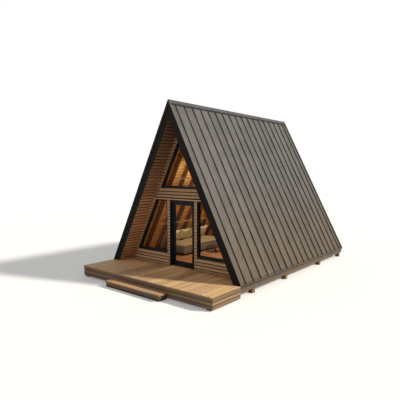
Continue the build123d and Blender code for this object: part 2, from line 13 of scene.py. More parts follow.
import bmesh
import bpy
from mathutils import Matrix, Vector
from mathutils.geometry import intersect_line_line_2d


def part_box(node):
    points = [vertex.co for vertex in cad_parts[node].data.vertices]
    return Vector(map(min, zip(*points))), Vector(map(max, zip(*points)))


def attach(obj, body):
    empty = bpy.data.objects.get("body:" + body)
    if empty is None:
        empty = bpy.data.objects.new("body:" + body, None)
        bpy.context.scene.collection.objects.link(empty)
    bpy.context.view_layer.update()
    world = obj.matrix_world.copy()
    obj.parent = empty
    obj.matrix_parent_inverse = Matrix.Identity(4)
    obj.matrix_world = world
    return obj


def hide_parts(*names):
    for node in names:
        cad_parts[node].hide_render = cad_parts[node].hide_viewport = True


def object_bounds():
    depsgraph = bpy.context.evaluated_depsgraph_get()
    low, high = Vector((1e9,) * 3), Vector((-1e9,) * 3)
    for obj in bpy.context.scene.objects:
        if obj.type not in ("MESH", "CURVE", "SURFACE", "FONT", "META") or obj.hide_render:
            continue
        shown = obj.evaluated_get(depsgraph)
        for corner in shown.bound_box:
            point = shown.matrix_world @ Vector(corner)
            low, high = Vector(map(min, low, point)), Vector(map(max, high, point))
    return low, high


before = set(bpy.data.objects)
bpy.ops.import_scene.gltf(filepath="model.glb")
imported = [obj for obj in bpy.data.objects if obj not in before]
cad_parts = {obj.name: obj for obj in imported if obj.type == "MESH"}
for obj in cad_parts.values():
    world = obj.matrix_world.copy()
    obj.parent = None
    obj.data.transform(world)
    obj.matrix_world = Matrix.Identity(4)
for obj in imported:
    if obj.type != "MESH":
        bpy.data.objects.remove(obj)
cad_low, cad_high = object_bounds()
print("solid pieces:", len(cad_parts), "box:", tuple(cad_low), tuple(cad_high))

# %% [markdown]
# ## Measuring the cabin
# On site the carpenter snaps lines before cutting: the deck level, the slope of the
# roof, the faces of the two end walls. They could be typed in here as numbers, but then
# a changed size would leave the boards behind, so they are read off the solid pieces.
# The slope is the most used one: roof_x gives the half width at a height, for a plane
# that lies so deep under the roof's face.

# %% Lines of the cabin
deck_low, deck_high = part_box("deck")
floor_low, floor_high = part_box("floor")
DECK_Z = deck_high.z
RIDGE_Z = cad_high.z
SLOPE = math.atan2(RIDGE_Z - DECK_Z, cad_high.x)
TAN = math.tan(SLOPE)
DOWN_SLOPE = Vector((math.cos(SLOPE), 0, -math.sin(SLOPE)))
OUT_OF_SLOPE = Vector((math.sin(SLOPE), 0, math.cos(SLOPE)))
RAKE_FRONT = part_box("ridge_cap")[0].y
RAKE_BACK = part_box("ridge_cap")[1].y
FRONT_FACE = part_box("front_wall_top")[0].y
FRONT_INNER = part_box("front_wall_top")[1].y
BACK_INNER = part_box("back_wall_top")[0].y
BACK_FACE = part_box("back_wall_top")[1].y
HEAD_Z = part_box("front_wall_top")[0].z
SOFFIT_DEPTH = (cad_high.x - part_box("rafters")[1].x) * math.sin(SLOPE)


def roof_x(depth, z):
    """Half width at height z of the plane that lies this deep under the roof's face."""
    return (RIDGE_Z - depth / math.cos(SLOPE) - z) / TAN


def roof_z(depth, x=0.0):
    """Height at x of the plane that lies this deep under the roof's face."""
    return RIDGE_Z - depth / math.cos(SLOPE) - x * TAN


print("slope", round(math.degrees(SLOPE), 1), "degrees, soffit", round(SOFFIT_DEPTH, 3), "m deep")

# %% [markdown]
# ## Outlines of the openings
# Each gable has two lower windows with one side parallel to the roof, and a triangle
# above them. The boards have to stop at these outlines, so they are measured from the
# frames that fill them. A list of three or four corners is enough, because every side
# is straight, and shrunk moves all the sides inwards, as a glazier does for a bead.

# %% Outlines of the openings
def extent(points):
    """Lowest and highest corner of some points."""
    return [Vector([pick(p[i] for p in points) for i in range(3)]) for pick in (min, max)]


def corners_box(name, keep):
    """Lowest and highest corner of the part of a solid piece that keep accepts."""
    return extent([v.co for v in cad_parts[name].data.vertices if keep(v.co)])


def rectangle(x0, x1, z0, z1):
    """Outline between two places across and two heights."""
    return [(x0, z0), (x1, z0), (x1, z1), (x0, z1)]


def shrunk(outline, margin):
    """Outline of (x, z) corners, counter-clockwise, with its sides moved inwards."""
    sides = []
    for i, corner in enumerate(outline):
        a, b = Vector(corner), Vector(outline[(i + 1) % len(outline)])
        inwards = Vector((a.y - b.y, b.x - a.x)).normalized() * margin
        sides.append((a + inwards, b + inwards))
    return [tuple(intersect_line_line_2d(*sides[i - 1], *sides[i])) for i in range(len(sides))]


def flipped(outline):
    """The same outline on the other side of the middle, still counter-clockwise."""
    return [(-x, z) for x, z in reversed(outline)]


ABOVE_HEAD, SUNK = HEAD_Z + 0.01, 0.01
low, high = corners_box("front_window_frames", lambda p: p.x > 0 and p.z < ABOVE_HEAD)
lower_window = [
    (low.x, low.z),
    (high.x, low.z),
    (high.x - (high.z - low.z) / TAN, high.z),
    (low.x, high.z),
]
low, high = corners_box("front_window_frames", lambda p: p.z > ABOVE_HEAD)
upper_window = [(-high.x, low.z), (high.x, low.z), (0, high.z)]
door_low, door_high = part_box("door_frame")
doorway = rectangle(door_low.x, door_high.x, DECK_Z - SUNK, HEAD_Z)
windows = [lower_window, flipped(lower_window), upper_window]
print("lower window", [tuple(round(v, 3) for v in p) for p in lower_window])

# %% [markdown]
# ## Solids between two outlines
# A board, a bead and a folded strip are all the same kind of solid: one outline at the
# start, the same number of points at the end, and flat sides between. Blender could
# extrude a face for this, but plain lists of points and faces are shorter to write and
# let the two ends differ, which is what a board that stops on a slope needs. Many
# solids are joined in one mesh, as one row of boards is one job for the carpenter.

# %% Solids between two outlines
def between(first, last):
    """Closed solid between two outlines that have as many points."""
    count = len(first)
    faces = [tuple(reversed(range(count))), tuple(range(count, 2 * count))]
    for i in range(count):
        j = (i + 1) % count
        faces.append((i, j, j + count, i + count))
    return [*first, *last], faces


def prism(outline, y0, y1):
    """Solid with an (x, z) outline, from y0 to y1."""
    first, last = [[Vector((x, y, z)) for x, z in outline] for y in (y0, y1)]
    return between(first, last)


def new_mesh(name, solids):
    """One mesh of closed solids, all with their normals outwards."""
    points, faces = [], []
    for solid_points, solid_faces in solids:
        faces += [tuple(len(points) + i for i in face) for face in solid_faces]
        points += solid_points
    mesh = bpy.data.meshes.new(name)
    mesh.from_pydata([tuple(p) for p in points], [], faces)
    shape = bmesh.new()
    shape.from_mesh(mesh)
    bmesh.ops.recalc_face_normals(shape, faces=shape.faces)
    shape.to_mesh(mesh)
    shape.free()
    return mesh


def new_object(name, data):
    """An object with this mesh, curve, light or camera, linked to the scene."""
    made = bpy.data.objects.new(name, data)
    bpy.context.scene.collection.objects.link(made)
    return made


def new_piece(name, solids, finish, body="cabin", stands_for=()):
    """A dressed piece that rides on a body and may stand for solid pieces."""
    piece = new_object(name, new_mesh(name, solids))
    piece.data.materials.append(finish)
    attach(piece, body)
    if stands_for:
        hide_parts(*stands_for)
    print(name, len(piece.data.polygons), "faces")
    return piece


# %% [markdown]
# ## Rows of boards
# Cladding, decking, lining and skirts are the same trade: boards of one width laid side
# by side with a narrow gap, their edges eased, and long runs made of shorter lengths
# with staggered joints. An array would repeat one board with the same ends, so one
# function lays them all instead. It walks across the row in steps of the pitch, and asks
# span where a board begins and ends, so that the ends of cladding follow the roof.

# %% Rows of boards
EASED = 0.0025
END_GAP = 0.002
SHORTEST, NARROWEST = 0.4, 0.012
SLIVER = 0.01


def staggered(start, stop, longest, draw):
    """Places of the joints in a run, with no board longer than the longest."""
    joints = []
    place = start + longest * draw.uniform(0.35, 1.0)
    while place < stop - SHORTEST:
        joints.append(place)
        place += longest * draw.uniform(0.75, 1.0)
    return joints


def board_row(
    corner, along, across, out, width, pitch, span, thick, gap=0.005, longest=0.0, seed=1, ripped=0.0,
):
    """Boards side by side over a width; the first one may be ripped narrower."""
    draw = random.Random(seed)
    along, across, out = Vector(along), Vector(across), Vector(out)
    solids = []
    for i in range(math.ceil((width + ripped) / pitch - SLIVER)):
        low = max(i * pitch - ripped, 0) + gap / 2
        high = min((i + 1) * pitch - ripped, width) - gap / 2
        if high - low < NARROWEST:
            continue
        profile = [
            (low, -thick), (high, -thick), (high, -EASED),
            (high - EASED, 0), (low + EASED, 0), (low, -EASED),
        ]
        joints = staggered(*span((low + high) / 2), longest, draw) if longest else []
        for k in range(len(joints) + 1):
            first, last = [], []
            for offset, height in profile:
                start, stop = span(offset)
                start = joints[k - 1] + END_GAP / 2 if k > 0 else start
                stop = joints[k] - END_GAP / 2 if k < len(joints) else stop
                place = Vector(corner) + across * offset + out * height
                first.append(place + along * start)
                last.append(place + along * stop)
            solids.append(between(first, last))
    return solids


X, Y, Z = Vector((1, 0, 0)), Vector((0, 1, 0)), Vector((0, 0, 1))

# %% [markdown]
# ## Cutting openings and easing edges
# Boards are laid over the whole wall and the openings are cut afterwards, as on site. A
# boolean does that exactly, and it is applied at once so that the cutter can go. Sharp
# edges of planed timber and painted frames are eased by a bevel. The loaded solids have
# separate faces, so a weld comes first; both stay modifiers, and the solids stay as
# they are.

# %% Cutting openings and easing edges
def shaped_mesh(piece):
    """A mesh of what an object shows once its modifiers or its bevel have worked."""
    bpy.context.view_layer.update()
    shaped = piece.evaluated_get(bpy.context.evaluated_depsgraph_get())
    return bpy.data.meshes.new_from_object(shaped)


def apply_modifiers(piece):
    """Turn what the modifiers make into the piece's own mesh."""
    mesh = shaped_mesh(piece)
    piece.modifiers.clear()
    piece.data = mesh


def cut_out(piece, solids):
    """Cut closed solids out of a piece."""
    cutter = new_object("cutter", new_mesh("cutter", solids))
    openings = piece.modifiers.new("openings", "BOOLEAN")
    openings.operation = "DIFFERENCE"
    openings.solver = "EXACT"
    openings.object = cutter
    apply_modifiers(piece)
    bpy.data.objects.remove(cutter)


WELD, SHARP = 0.00002, math.radians(40)


def ease(piece, width, segments=1):
    """Ease the sharp edges of a piece."""
    weld = piece.modifiers.new("weld", "WELD")
    weld.merge_threshold = WELD
    bevel = piece.modifiers.new("eased edges", "BEVEL")
    bevel.width = width
    bevel.segments = segments
    bevel.limit_method = "ANGLE"
    bevel.angle_limit = SHARP


# %% [markdown]
# ## Building finishes from nodes
# A finish is a small network that ends in the shader. It could be drawn by hand in the
# node editor, but then every wood would be drawn again. Short helpers keep it readable:
# add makes a node and either sets or links its sockets, maths does one sum, mixed
# blends two colours, and the others are the few nodes that every finish here needs.
# Colours are written as they look on a swatch, 0 to 255, and turned into the linear
# values that the shader wants.

# %% Helpers for finishes
def swatch(red, green, blue):
    """Linear colour of a swatch that is written 0 to 255."""
    linear = []
    for value in (red, green, blue):
        share = value / 255
        linear.append(share / 12.92 if share <= 0.04045 else ((share + 0.055) / 1.055) ** 2.4)
    return (*linear, 1.0)


def new_finish(name, colour, sockets=None):
    """A material, its tree and its shader, with the shader's own sockets set."""
    finish = bpy.data.materials.new(name)
    finish.use_nodes = True
    shader = finish.node_tree.nodes["Principled BSDF"]
    shader.inputs["Base Color"].default_value = colour
    for socket, value in (sockets or {}).items():
        shader.inputs[socket].default_value = value
    return finish, finish.node_tree, shader


def add(tree, kind, sockets=None, **settings):
    """Add a node; each socket gets a value or a link from another node."""
    made = tree.nodes.new("ShaderNode" + kind)
    for key, value in settings.items():
        setattr(made, key, value)
    for key, value in (sockets or {}).items():
        if isinstance(value, bpy.types.NodeSocket):
            tree.links.new(value, made.inputs[key])
        else:
            made.inputs[key].default_value = value
    return made


def maths(tree, operation, a, b=0.0, c=0.0):
    """One sum of a Math node."""
    return add(tree, "Math", {0: a, 1: b, 2: c}, operation=operation).outputs[0]


def spread(tree, value, low, high, to_low=0.0, to_high=1.0):
    """Stretch a value from one range to another, smoothly and clamped."""
    sockets = {"Value": value, "From Min": low, "From Max": high, "To Min": to_low, "To Max": to_high}
    return add(tree, "MapRange", sockets, interpolation_type="SMOOTHSTEP").outputs["Result"]


def mixed(tree, share, first, second, kind="MIX"):
    """Blend two colours; the share may be a link."""
    made = add(tree, "Mix", {0: share, 6: first, 7: second}, data_type="RGBA", blend_type=kind)
    return made.outputs[2]


def scaled(colour, share):
    """A colour with its light scaled by a share."""
    return (*(share * value for value in colour[:3]), 1.0)


# %% Helpers for places, noises and bumps
def dot(tree, place, axis):
    """How far a place lies along an axis; the axis may be a link too."""
    axis = axis if isinstance(axis, bpy.types.NodeSocket) else tuple(axis)
    return add(tree, "VectorMath", {0: place, 1: axis}, operation="DOT_PRODUCT").outputs["Value"]


def either_side(tree, place):
    """The place folded over the middle, so that both sides of the cabin are alike."""
    return add(tree, "VectorMath", {0: place}, operation="ABSOLUTE").outputs[0]


def combined(tree, x, y, z):
    """A place made of three values; each may be a link."""
    return add(tree, "CombineXYZ", {0: x, 1: y, 2: z}).outputs[0]


def noise(tree, place, scale, detail=2.0, **sockets):
    """Soft noise; without a place it fills the box of the piece."""
    sockets.update({"Scale": scale, "Detail": detail})
    if place is not None:
        sockets["Vector"] = place
    return add(tree, "TexNoise", sockets).outputs["Fac"]


def bump(tree, shader, height, strength, distance):
    """Raise the surface by a height in the shader's normal."""
    made = add(tree, "Bump", {"Height": height, "Strength": strength, "Distance": distance})
    tree.links.new(made.outputs["Normal"], shader.inputs["Normal"])


def tint(finish, share, colour):
    """Multiply what a finish shows by a colour, as far as the share says."""
    tree = finish.node_tree
    base = tree.nodes["Principled BSDF"].inputs["Base Color"]
    tree.links.new(mixed(tree, share, base.links[0].from_socket, colour, "MULTIPLY"), base)


def speckled(name, colour, dark, pale, scale, detail, sockets):
    """A finish that wavers between two tones, with its tree, its shader and the noise."""
    finish, tree, shader = new_finish(name, colour, sockets)
    speck = noise(tree, None, scale, detail)
    tree.links.new(mixed(tree, speck, dark, pale), shader.inputs["Base Color"])
    return finish, tree, shader, speck


print("a mid grey swatch in linear light:", round(swatch(128, 128, 128)[0], 3))

# %% [markdown]
# ## Wood
# No two boards in a wall are alike: each was sawn from another place in another log. So
# the finish numbers the boards by their place across the row, draws a chance value for
# each number, and uses it for the board's tone and to shift the grain. The grain itself
# is made of growth rings, which are circles round a pith that lies outside the board,
# of fibres, which are noise stretched along the board, and of a few knots. An image
# would repeat; this never does, and it fits any board length.

# %% Places on a board
FIBRES_ALONG, FIBRES_ACROSS = 1.3, 55.0
RINGS_ALONG, RINGS_ACROSS = 0.6, 4.0
KNOTS_ALONG, KNOTS_ACROSS = 2.6, 7.0
RING_WIDTH = 0.008
FIRST_DRAW, SHIFT = 17.3, 60.0


def board_places(tree, place, along, across, pitch, first):
    """Where a place lies on its board, and the chance values of that board."""
    run = dot(tree, place, along)
    side = maths(tree, "SUBTRACT", dot(tree, place, across), first)
    depth = dot(tree, place, Vector(along).cross(Vector(across)))
    board = maths(tree, "FLOOR", maths(tree, "DIVIDE", side, pitch))
    number = maths(tree, "ADD", board, FIRST_DRAW)
    chance = add(tree, "TexWhiteNoise", {"W": number}, noise_dimensions="1D")
    return (run, side, depth), chance


def stretched(tree, places, chance, along_scale, across_scale):
    """The place stretched along the board and shifted for each board."""
    run, side, depth = places
    flat = combined(
        tree, maths(tree, "MULTIPLY", run, along_scale),
        maths(tree, "MULTIPLY", side, across_scale), maths(tree, "MULTIPLY", depth, across_scale),
    )
    colour = chance.outputs["Color"]
    shift = add(tree, "VectorMath", {0: colour, "Scale": SHIFT}, operation="SCALE").outputs[0]
    return add(tree, "VectorMath", {0: flat, 1: shift}, operation="ADD").outputs[0]


# %% Growth rings and knots
PITH_ASIDE, PITH_BEHIND, PITH_LEAN = 0.2, 0.12, 0.03
KNOT_CORE, KNOT_RIM = 0.05, 0.09
KNOT_DRAWS = 0.62, 0.64


def growth_rings(tree, places, chance):
    """Waves round a pith that lies beside the board, elsewhere for each board."""
    run, side, depth = places
    draws = add(tree, "SeparateColor", {0: chance.outputs["Color"]})
    wave = noise(tree, stretched(tree, places, chance, RINGS_ALONG, RINGS_ACROSS), 1.0)
    pith_x = maths(tree, "MULTIPLY_ADD", draws.outputs[0], PITH_ASIDE, maths(tree, "ADD", side, wave))
    leaning = maths(tree, "MULTIPLY_ADD", run, PITH_LEAN, depth)
    pith_y = maths(tree, "MULTIPLY_ADD", draws.outputs[1], PITH_BEHIND, leaning)
    squares = [maths(tree, "POWER", pith, 2.0) for pith in (pith_x, pith_y)]
    from_pith = maths(tree, "SQRT", maths(tree, "ADD", *squares))
    return maths(tree, "SINE", maths(tree, "MULTIPLY", from_pith, 2 * math.pi / RING_WIDTH))


def knots(tree, places, chance):
    """Round dark spots in about a third of the cells of a Voronoi pattern."""
    sockets = {"Vector": stretched(tree, places, chance, KNOTS_ALONG, KNOTS_ACROSS), "Scale": 1.0}
    cells = add(tree, "TexVoronoi", sockets)
    draw = add(tree, "SeparateColor", {0: cells.outputs["Color"]}).outputs[0]
    spot = spread(tree, cells.outputs["Distance"], KNOT_CORE, KNOT_RIM, 1.0, 0.0)
    return maths(tree, "MULTIPLY", spot, spread(tree, draw, *KNOT_DRAWS))


# %% Wood
FIBRE_TONE, RING_TONE = 0.8, 0.06
END_GRAIN, KNOT_TONE, EDGE_DIRT_AND_SHADE_TONE = 0.7, 0.75, 0.75
EDGE_DIRT_AND_SHADE_WIDTH = 0.014
GRAIN_DEPTH = 0.0012


def centred(tree, value, scale, offset):
    """A value from 0 to 1, taken about its middle, scaled, and added to another."""
    return maths(tree, "MULTIPLY_ADD", maths(tree, "SUBTRACT", value, 0.5), scale, offset)


def wood(
    name, pale, dark, along, across, pitch, first=0.0,
    shade=0.5, roughness=0.6, weather=0.0, both=False, edges=0.0,
):
    """Planed boards with a tone for each board, growth rings, fibres and knots."""
    finish, tree, shader = new_finish(name, pale)
    coordinates = add(tree, "TexCoord")
    place = coordinates.outputs["Object"]
    if both:
        place = either_side(tree, place)
    places, chance = board_places(tree, place, along, across, pitch, first)
    fibre_at = stretched(tree, places, chance, FIBRES_ALONG, FIBRES_ACROSS)
    fibre = noise(tree, fibre_at, 1.0, 5.0, Roughness=0.6)
    ring = growth_rings(tree, places, chance)
    knot = knots(tree, places, chance)

    tone = centred(tree, chance.outputs["Value"], shade, 0.5)
    tone = centred(tree, fibre, FIBRE_TONE, tone)
    tone = maths(tree, "MULTIPLY_ADD", ring, RING_TONE, tone)
    colour = mixed(tree, spread(tree, tone, 0.0, 1.0), dark, pale)
    facing = maths(tree, "ABSOLUTE", dot(tree, coordinates.outputs["Normal"], along))
    colour = mixed(tree, spread(tree, facing, 0.6, 0.8, 0.0, END_GRAIN), colour, scaled(dark, 0.6))
    colour = mixed(tree, maths(tree, "MULTIPLY", knot, KNOT_TONE), colour, scaled(dark, 0.25))
    # Near each joint the board darkens: partly dirt, partly painted shade of the gap.
    if edges:
        place_in_board = maths(tree, "FRACT", maths(tree, "DIVIDE", places[1], pitch))
        to_edge = maths(tree, "MULTIPLY", maths(tree, "PINGPONG", place_in_board, 0.5), pitch)
        near_edge = spread(tree, to_edge, edges, edges + EDGE_DIRT_AND_SHADE_WIDTH, 1.0, 0.0)
        colour = mixed(tree, maths(tree, "MULTIPLY", near_edge, EDGE_DIRT_AND_SHADE_TONE), colour, scaled(dark, 0.3))
    if weather:
        patch = spread(tree, noise(tree, place, 1.7, 4.0), 0.35, 0.7)
        grey = sum(pale[:3]) / 3
        weathered = (0.6 * grey, 0.6 * grey, 0.58 * grey, 1.0)
        colour = mixed(tree, maths(tree, "MULTIPLY", patch, weather), colour, weathered)
    tree.links.new(colour, shader.inputs["Base Color"])
    polish = spread(tree, fibre, 0.2, 0.8, roughness + 0.12, roughness - 0.08)
    tree.links.new(polish, shader.inputs["Roughness"])
    height = maths(tree, "MULTIPLY_ADD", ring, 0.15, maths(tree, "SUBTRACT", fibre, knot))
    bump(tree, shader, height, 0.35, GRAIN_DEPTH)
    return finish


# %% [markdown]
# ## Boards of the walls
# The outer boards are pale oiled softwood. Those above the level trim get a darker copy
# of it as painted shade, and close under the roof all of them get a reddish painted shade.
# A painted mask would have to follow the slope by hand. The depth under the
# roof's face is simpler: one dot product with the slope's normal, folded over the
# middle for the other side.

# %% Boards of the walls
def depth_under_roof(tree):
    """How deep a place lies under the roof's face, on either slope."""
    place = either_side(tree, add(tree, "TexCoord").outputs["Object"])
    return maths(tree, "SUBTRACT", RIDGE_Z * math.cos(SLOPE), dot(tree, place, OUT_OF_SLOPE))


# Painted shade: boards within this reach of the soffit are darkened and reddened.
PAINTED_SHADE_REACH, PAINTED_SHADE_FADE = 0.11, 0.05
PAINTED_SHADE_TINT = (0.78, 0.66, 0.60, 1.0)


def painted_shade_near_soffit(finish):
    """Paint a reddish shade on boards close under the roof's soffit."""
    tree = finish.node_tree
    near, far = SOFFIT_DEPTH + PAINTED_SHADE_REACH, SOFFIT_DEPTH + PAINTED_SHADE_REACH + PAINTED_SHADE_FADE
    tint(finish, spread(tree, depth_under_roof(tree), near, far, 1.0, 0.0), PAINTED_SHADE_TINT)


CLADDING_PITCH, CLADDING_GAP = 0.102, 0.020
COURSE_ZERO = DECK_Z - 0.041
HEAD_TRIM_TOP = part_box("head_trims")[1].z
cladding_wood = wood(
    "cladding_wood", swatch(236, 195, 151), swatch(182, 141, 104), X, Z, CLADDING_PITCH, COURSE_ZERO,
    shade=0.22, weather=0.1, edges=CLADDING_GAP / 2,
)
# The boards above the level trim are a darker copy of the cladding: painted shade.
cladding_top_painted_shade = wood(
    "cladding_top_painted_shade", swatch(200, 160, 116), swatch(152, 114, 78), X, Z, CLADDING_PITCH, COURSE_ZERO,
    shade=0.22, weather=0.1, edges=CLADDING_GAP / 2,
)
for finish in (cladding_wood, cladding_top_painted_shade):
    painted_shade_near_soffit(finish)
room_colours = (swatch(246, 200, 116), swatch(214, 158, 80))
room_wall_wood = wood(
    "room_wall_wood", *room_colours, X, Z, CLADDING_PITCH, COURSE_ZERO,
    shade=0.3, edges=0.003,
)
print("finishes of the walls:", cladding_wood.name, room_wall_wood.name)

# %% [markdown]
# ## End walls
# An end wall is a core of studs and insulation with narrow horizontal boards outside
# and inside. The outer boards run from soffit to soffit, and they start again above the
# level trim over the door, as the trim breaks the wall. A striped finish on one block
# would be quicker, but a low sun shows that its gaps are flat, so each board is a solid.
# The core only shows in the gaps and round the frames: one prism in black paper.

# %% Finish of the shadow gaps
core_dark = speckled(
    "wall_paper", swatch(20, 17, 15), swatch(12, 10, 9), swatch(30, 26, 22), 22.0, 4.0,
    {"Roughness": 0.9, "Specular IOR Level": 0.1},
)[0]
print("finish of the shadow gaps:", core_dark.name)


# %% Courses of a gable
CLADDING_THICK = 0.020
LONGEST_COURSE = 3.6


def gable_courses(y_face, outwards, z_start, z_stop, gap, seed):
    """Horizontal boards on a gable between two heights, all on the same courses."""
    def span(offset):
        half = roof_x(SOFFIT_DEPTH, z_start + offset)
        return -half, half

    return board_row(
        (0, y_face, z_start), X, Z, Y * outwards, z_stop - z_start, CLADDING_PITCH, span, CLADDING_THICK,
        gap=gap, longest=LONGEST_COURSE, seed=seed, ripped=(z_start - COURSE_ZERO) % CLADDING_PITCH,
    )


# %% End walls
ROOM_BOARD_GAP = 0.005
PEAK_CLEAR = 0.02
CUTTER_REACH = 0.3


def end_wall(side, y_face, y_inner, outwards, nodes, openings):
    """Cladding, core and room boards of one end wall, cut for its openings."""
    peak = roof_z(SOFFIT_DEPTH)
    top = peak - PEAK_CLEAR
    foot = roof_x(SOFFIT_DEPTH, DECK_Z)
    y0, y1 = sorted([y_face - outwards * CLADDING_THICK, y_inner + outwards * CLADDING_THICK])
    lower = gable_courses(y_face, outwards, DECK_Z, HEAD_Z, CLADDING_GAP, 11)
    upper = gable_courses(y_face, outwards, HEAD_TRIM_TOP, top, CLADDING_GAP, 12)
    core = [prism([(-foot, DECK_Z), (foot, DECK_Z), (0, peak)], y0, y1)]
    room = gable_courses(y_inner, -outwards, DECK_Z, top, ROOM_BOARD_GAP, 13)
    cuts = [prism(outline, y_face - CUTTER_REACH, y_face + CUTTER_REACH) for outline in openings]
    for name, solids, finish, stands_for in (
        ("_cladding", lower, cladding_wood, nodes),
        ("_cladding_top", upper, cladding_top_painted_shade, ()),
        ("_wall_core", core, core_dark, ()),
        ("_room_boards", room, room_wall_wood, ()),
    ):
        cut_out(new_piece(side + name, solids, finish, stands_for=stands_for), cuts)


end_wall(
    "front", FRONT_FACE, FRONT_INNER, -1,
    ("front_wall_right", "front_wall_left", "front_wall_top"), windows + [doorway],
)
end_wall(
    "back", BACK_FACE, BACK_INNER, 1,
    ("back_wall_right", "back_wall_left", "back_wall_top"), windows,
)

# %% [markdown]
# ## Soffits and room lining
# Under the roof planes narrow boards run from front to back. Outdoors they are the
# soffit, stained red brown; between the end walls they line the room and are golden.
# The row is laid down the slope from the peak, so the pitch is measured square to the
# boards. A mirror modifier could give the left plane, but then the joints would be
# mirrored too, so both planes are laid, each with its own draw of joints.

# %% Finishes of soffits and room lining
LINING_PITCH, LINING_GAP = 0.1102, 0.019
LINING_THICK = 0.018
PEAK_GAP, PEAK_RIPPED = 0.004, 0.038
LINING_ZERO = PEAK_GAP - PEAK_RIPPED - roof_z(SOFFIT_DEPTH) * math.sin(SLOPE)
soffit_wood = wood(
    "soffit_wood", swatch(231, 173, 123), swatch(175, 123, 84), Y, DOWN_SLOPE, LINING_PITCH, LINING_ZERO,
    shade=0.25, both=True, edges=LINING_GAP / 2,
)
room_lining_wood = wood(
    "room_lining_wood", *room_colours, Y, DOWN_SLOPE, LINING_PITCH, LINING_ZERO,
    shade=0.3, both=True, edges=0.003,
)
BLACK = (0.0, 0.0, 0.0, 1.0)


def painted_shade_above(finish, z_low, z_high, share):
    """Darken a finish towards a height, as painted shade."""
    tree = finish.node_tree
    height = add(tree, "SeparateXYZ", {0: add(tree, "TexCoord").outputs["Object"]}).outputs[2]
    tint(finish, spread(tree, height, z_low, z_high, 0.0, share), BLACK)


# The soffit darkens towards the peak: painted shade.
painted_shade_above(soffit_wood, DECK_Z + 0.8, RIDGE_Z - 1.0, 0.73)
print("slope lined with boards at", LINING_PITCH, "m")

# %% Boards under the roof
LONGEST_LINING = 3.9


def lining(name, y0, y1, finish, gap, nodes=()):
    """Boards under both roof planes from y0 to y1."""
    start = Vector((0, 0, roof_z(SOFFIT_DEPTH)))
    run = (start.z - DECK_Z) / math.sin(SLOPE)
    solids = []
    for sign in (1, -1):
        down = Vector((sign * DOWN_SLOPE.x, 0, DOWN_SLOPE.z))
        out = Vector((-sign * OUT_OF_SLOPE.x, 0, -OUT_OF_SLOPE.z))
        solids += board_row(
            start + down * PEAK_GAP, Y, down, out, run - PEAK_GAP, LINING_PITCH,
            lambda offset: (y0, y1), LINING_THICK,
            gap=gap, longest=LONGEST_LINING, seed=21 + sign, ripped=PEAK_RIPPED,
        )
    new_piece(name, solids, finish, stands_for=nodes)


ROOM_LINING_GAP = 0.004
lining_low, lining_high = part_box("lining_right")
lining("front_soffit", lining_low.y, FRONT_FACE, soffit_wood, LINING_GAP, ("lining_right", "lining_left"))
lining("room_lining", FRONT_INNER, BACK_INNER, room_lining_wood, ROOM_LINING_GAP)
lining("back_soffit", BACK_FACE, lining_high.y, soffit_wood, LINING_GAP)

# %% [markdown]
# ## Deck and floor
# Deck boards run away from the front edge, each in one length, with open gaps for the
# rain. The room's floor is the same trade in a darker, closer row of shorter boards, and
# under the back rakes, which are outdoors, the deck boards come again. One board and an
# array would do for the deck, but the shorter boards of the room need their joints.

# %% Finishes of deck and floor
DECK_BOARDS, FLOOR_BOARDS = 44, 40
DECK_GAP, FLOOR_GAP = 0.012, 0.002
DECK_PITCH = (deck_high.x - deck_low.x) / DECK_BOARDS
FLOOR_PITCH = (floor_high.x - floor_low.x) / FLOOR_BOARDS
deck_wood = wood(
    "deck_wood", swatch(238, 196, 139), swatch(178, 133, 89), Y, X, DECK_PITCH, deck_low.x,
    shade=0.42, roughness=0.62, weather=0.2, edges=DECK_GAP / 2,
)
floor_wood = wood(
    "floor_wood", swatch(216, 158, 110), swatch(167, 112, 74), Y, X, FLOOR_PITCH, floor_low.x,
    shade=0.4, roughness=0.42, edges=FLOOR_GAP,
)
print("deck boards every", round(DECK_PITCH, 4), "m, floor boards every", round(FLOOR_PITCH, 4), "m")

# %% Deck and floor boards
deck_thick = deck_high.z - deck_low.z
FLOOR_END = BACK_FACE - 0.05
LONGEST_FLOOR = 3.2


def level_boards(name, y0, y1, pitch, gap, finish, node, longest=0.0):
    """Boards that run away from the front, between two lines across the cabin."""
    row = board_row(
        (deck_low.x, 0, DECK_Z), Y, X, Z, deck_high.x - deck_low.x, pitch,
        lambda offset: (y0, y1), deck_thick, gap=gap, longest=longest, seed=31,
    )
    new_piece(name, row, finish, stands_for=(node,))


level_boards(
    "deck_boards", deck_low.y, deck_high.y, DECK_PITCH, DECK_GAP,
    deck_wood, "deck",
)
level_boards(
    "back_deck_boards", FLOOR_END, floor_high.y, DECK_PITCH, DECK_GAP,
    deck_wood, "floor",
)
level_boards(
    "room_floor_boards", floor_low.y, FLOOR_END - END_GAP, FLOOR_PITCH, FLOOR_GAP,
    floor_wood, "floor", longest=LONGEST_FLOOR,
)

# %% [markdown]
# ## Skirt and step
# Boards on edge close the space under the deck: three in front, returned along both
# sides, and behind them a thin backing that closes their gaps, black as painted shade
# under the deck. Without it daylight would flash through. The step is a box of the same
# boards with its own tread, so one function lays the boards on edge for both.

# %% Finishes of the skirt
skirt_low, skirt_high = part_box("deck_skirt")
skirt_colours = (swatch(150, 119, 85), swatch(100, 76, 52))
SKIRT_ROWS = 3
SKIRT_PITCH = (deck_low.z - skirt_low.z) / SKIRT_ROWS
skirt_wood = wood(
    "skirt_wood", *skirt_colours, X, Z, SKIRT_PITCH, skirt_low.z,
    shade=0.4, weather=0.25, edges=0.006,
)
skirt_side_wood = wood(
    "skirt_side_wood", *skirt_colours, Y, Z, SKIRT_PITCH, skirt_low.z,
    shade=0.4, weather=0.25, edges=0.006,
)
print("skirt boards every", round(SKIRT_PITCH, 4), "m")

# %% Boards on edge
SKIRT_THICK, SKIRT_GAP = 0.019, 0.010
BACKING, BACKING_FOOT = 0.006, 0.012


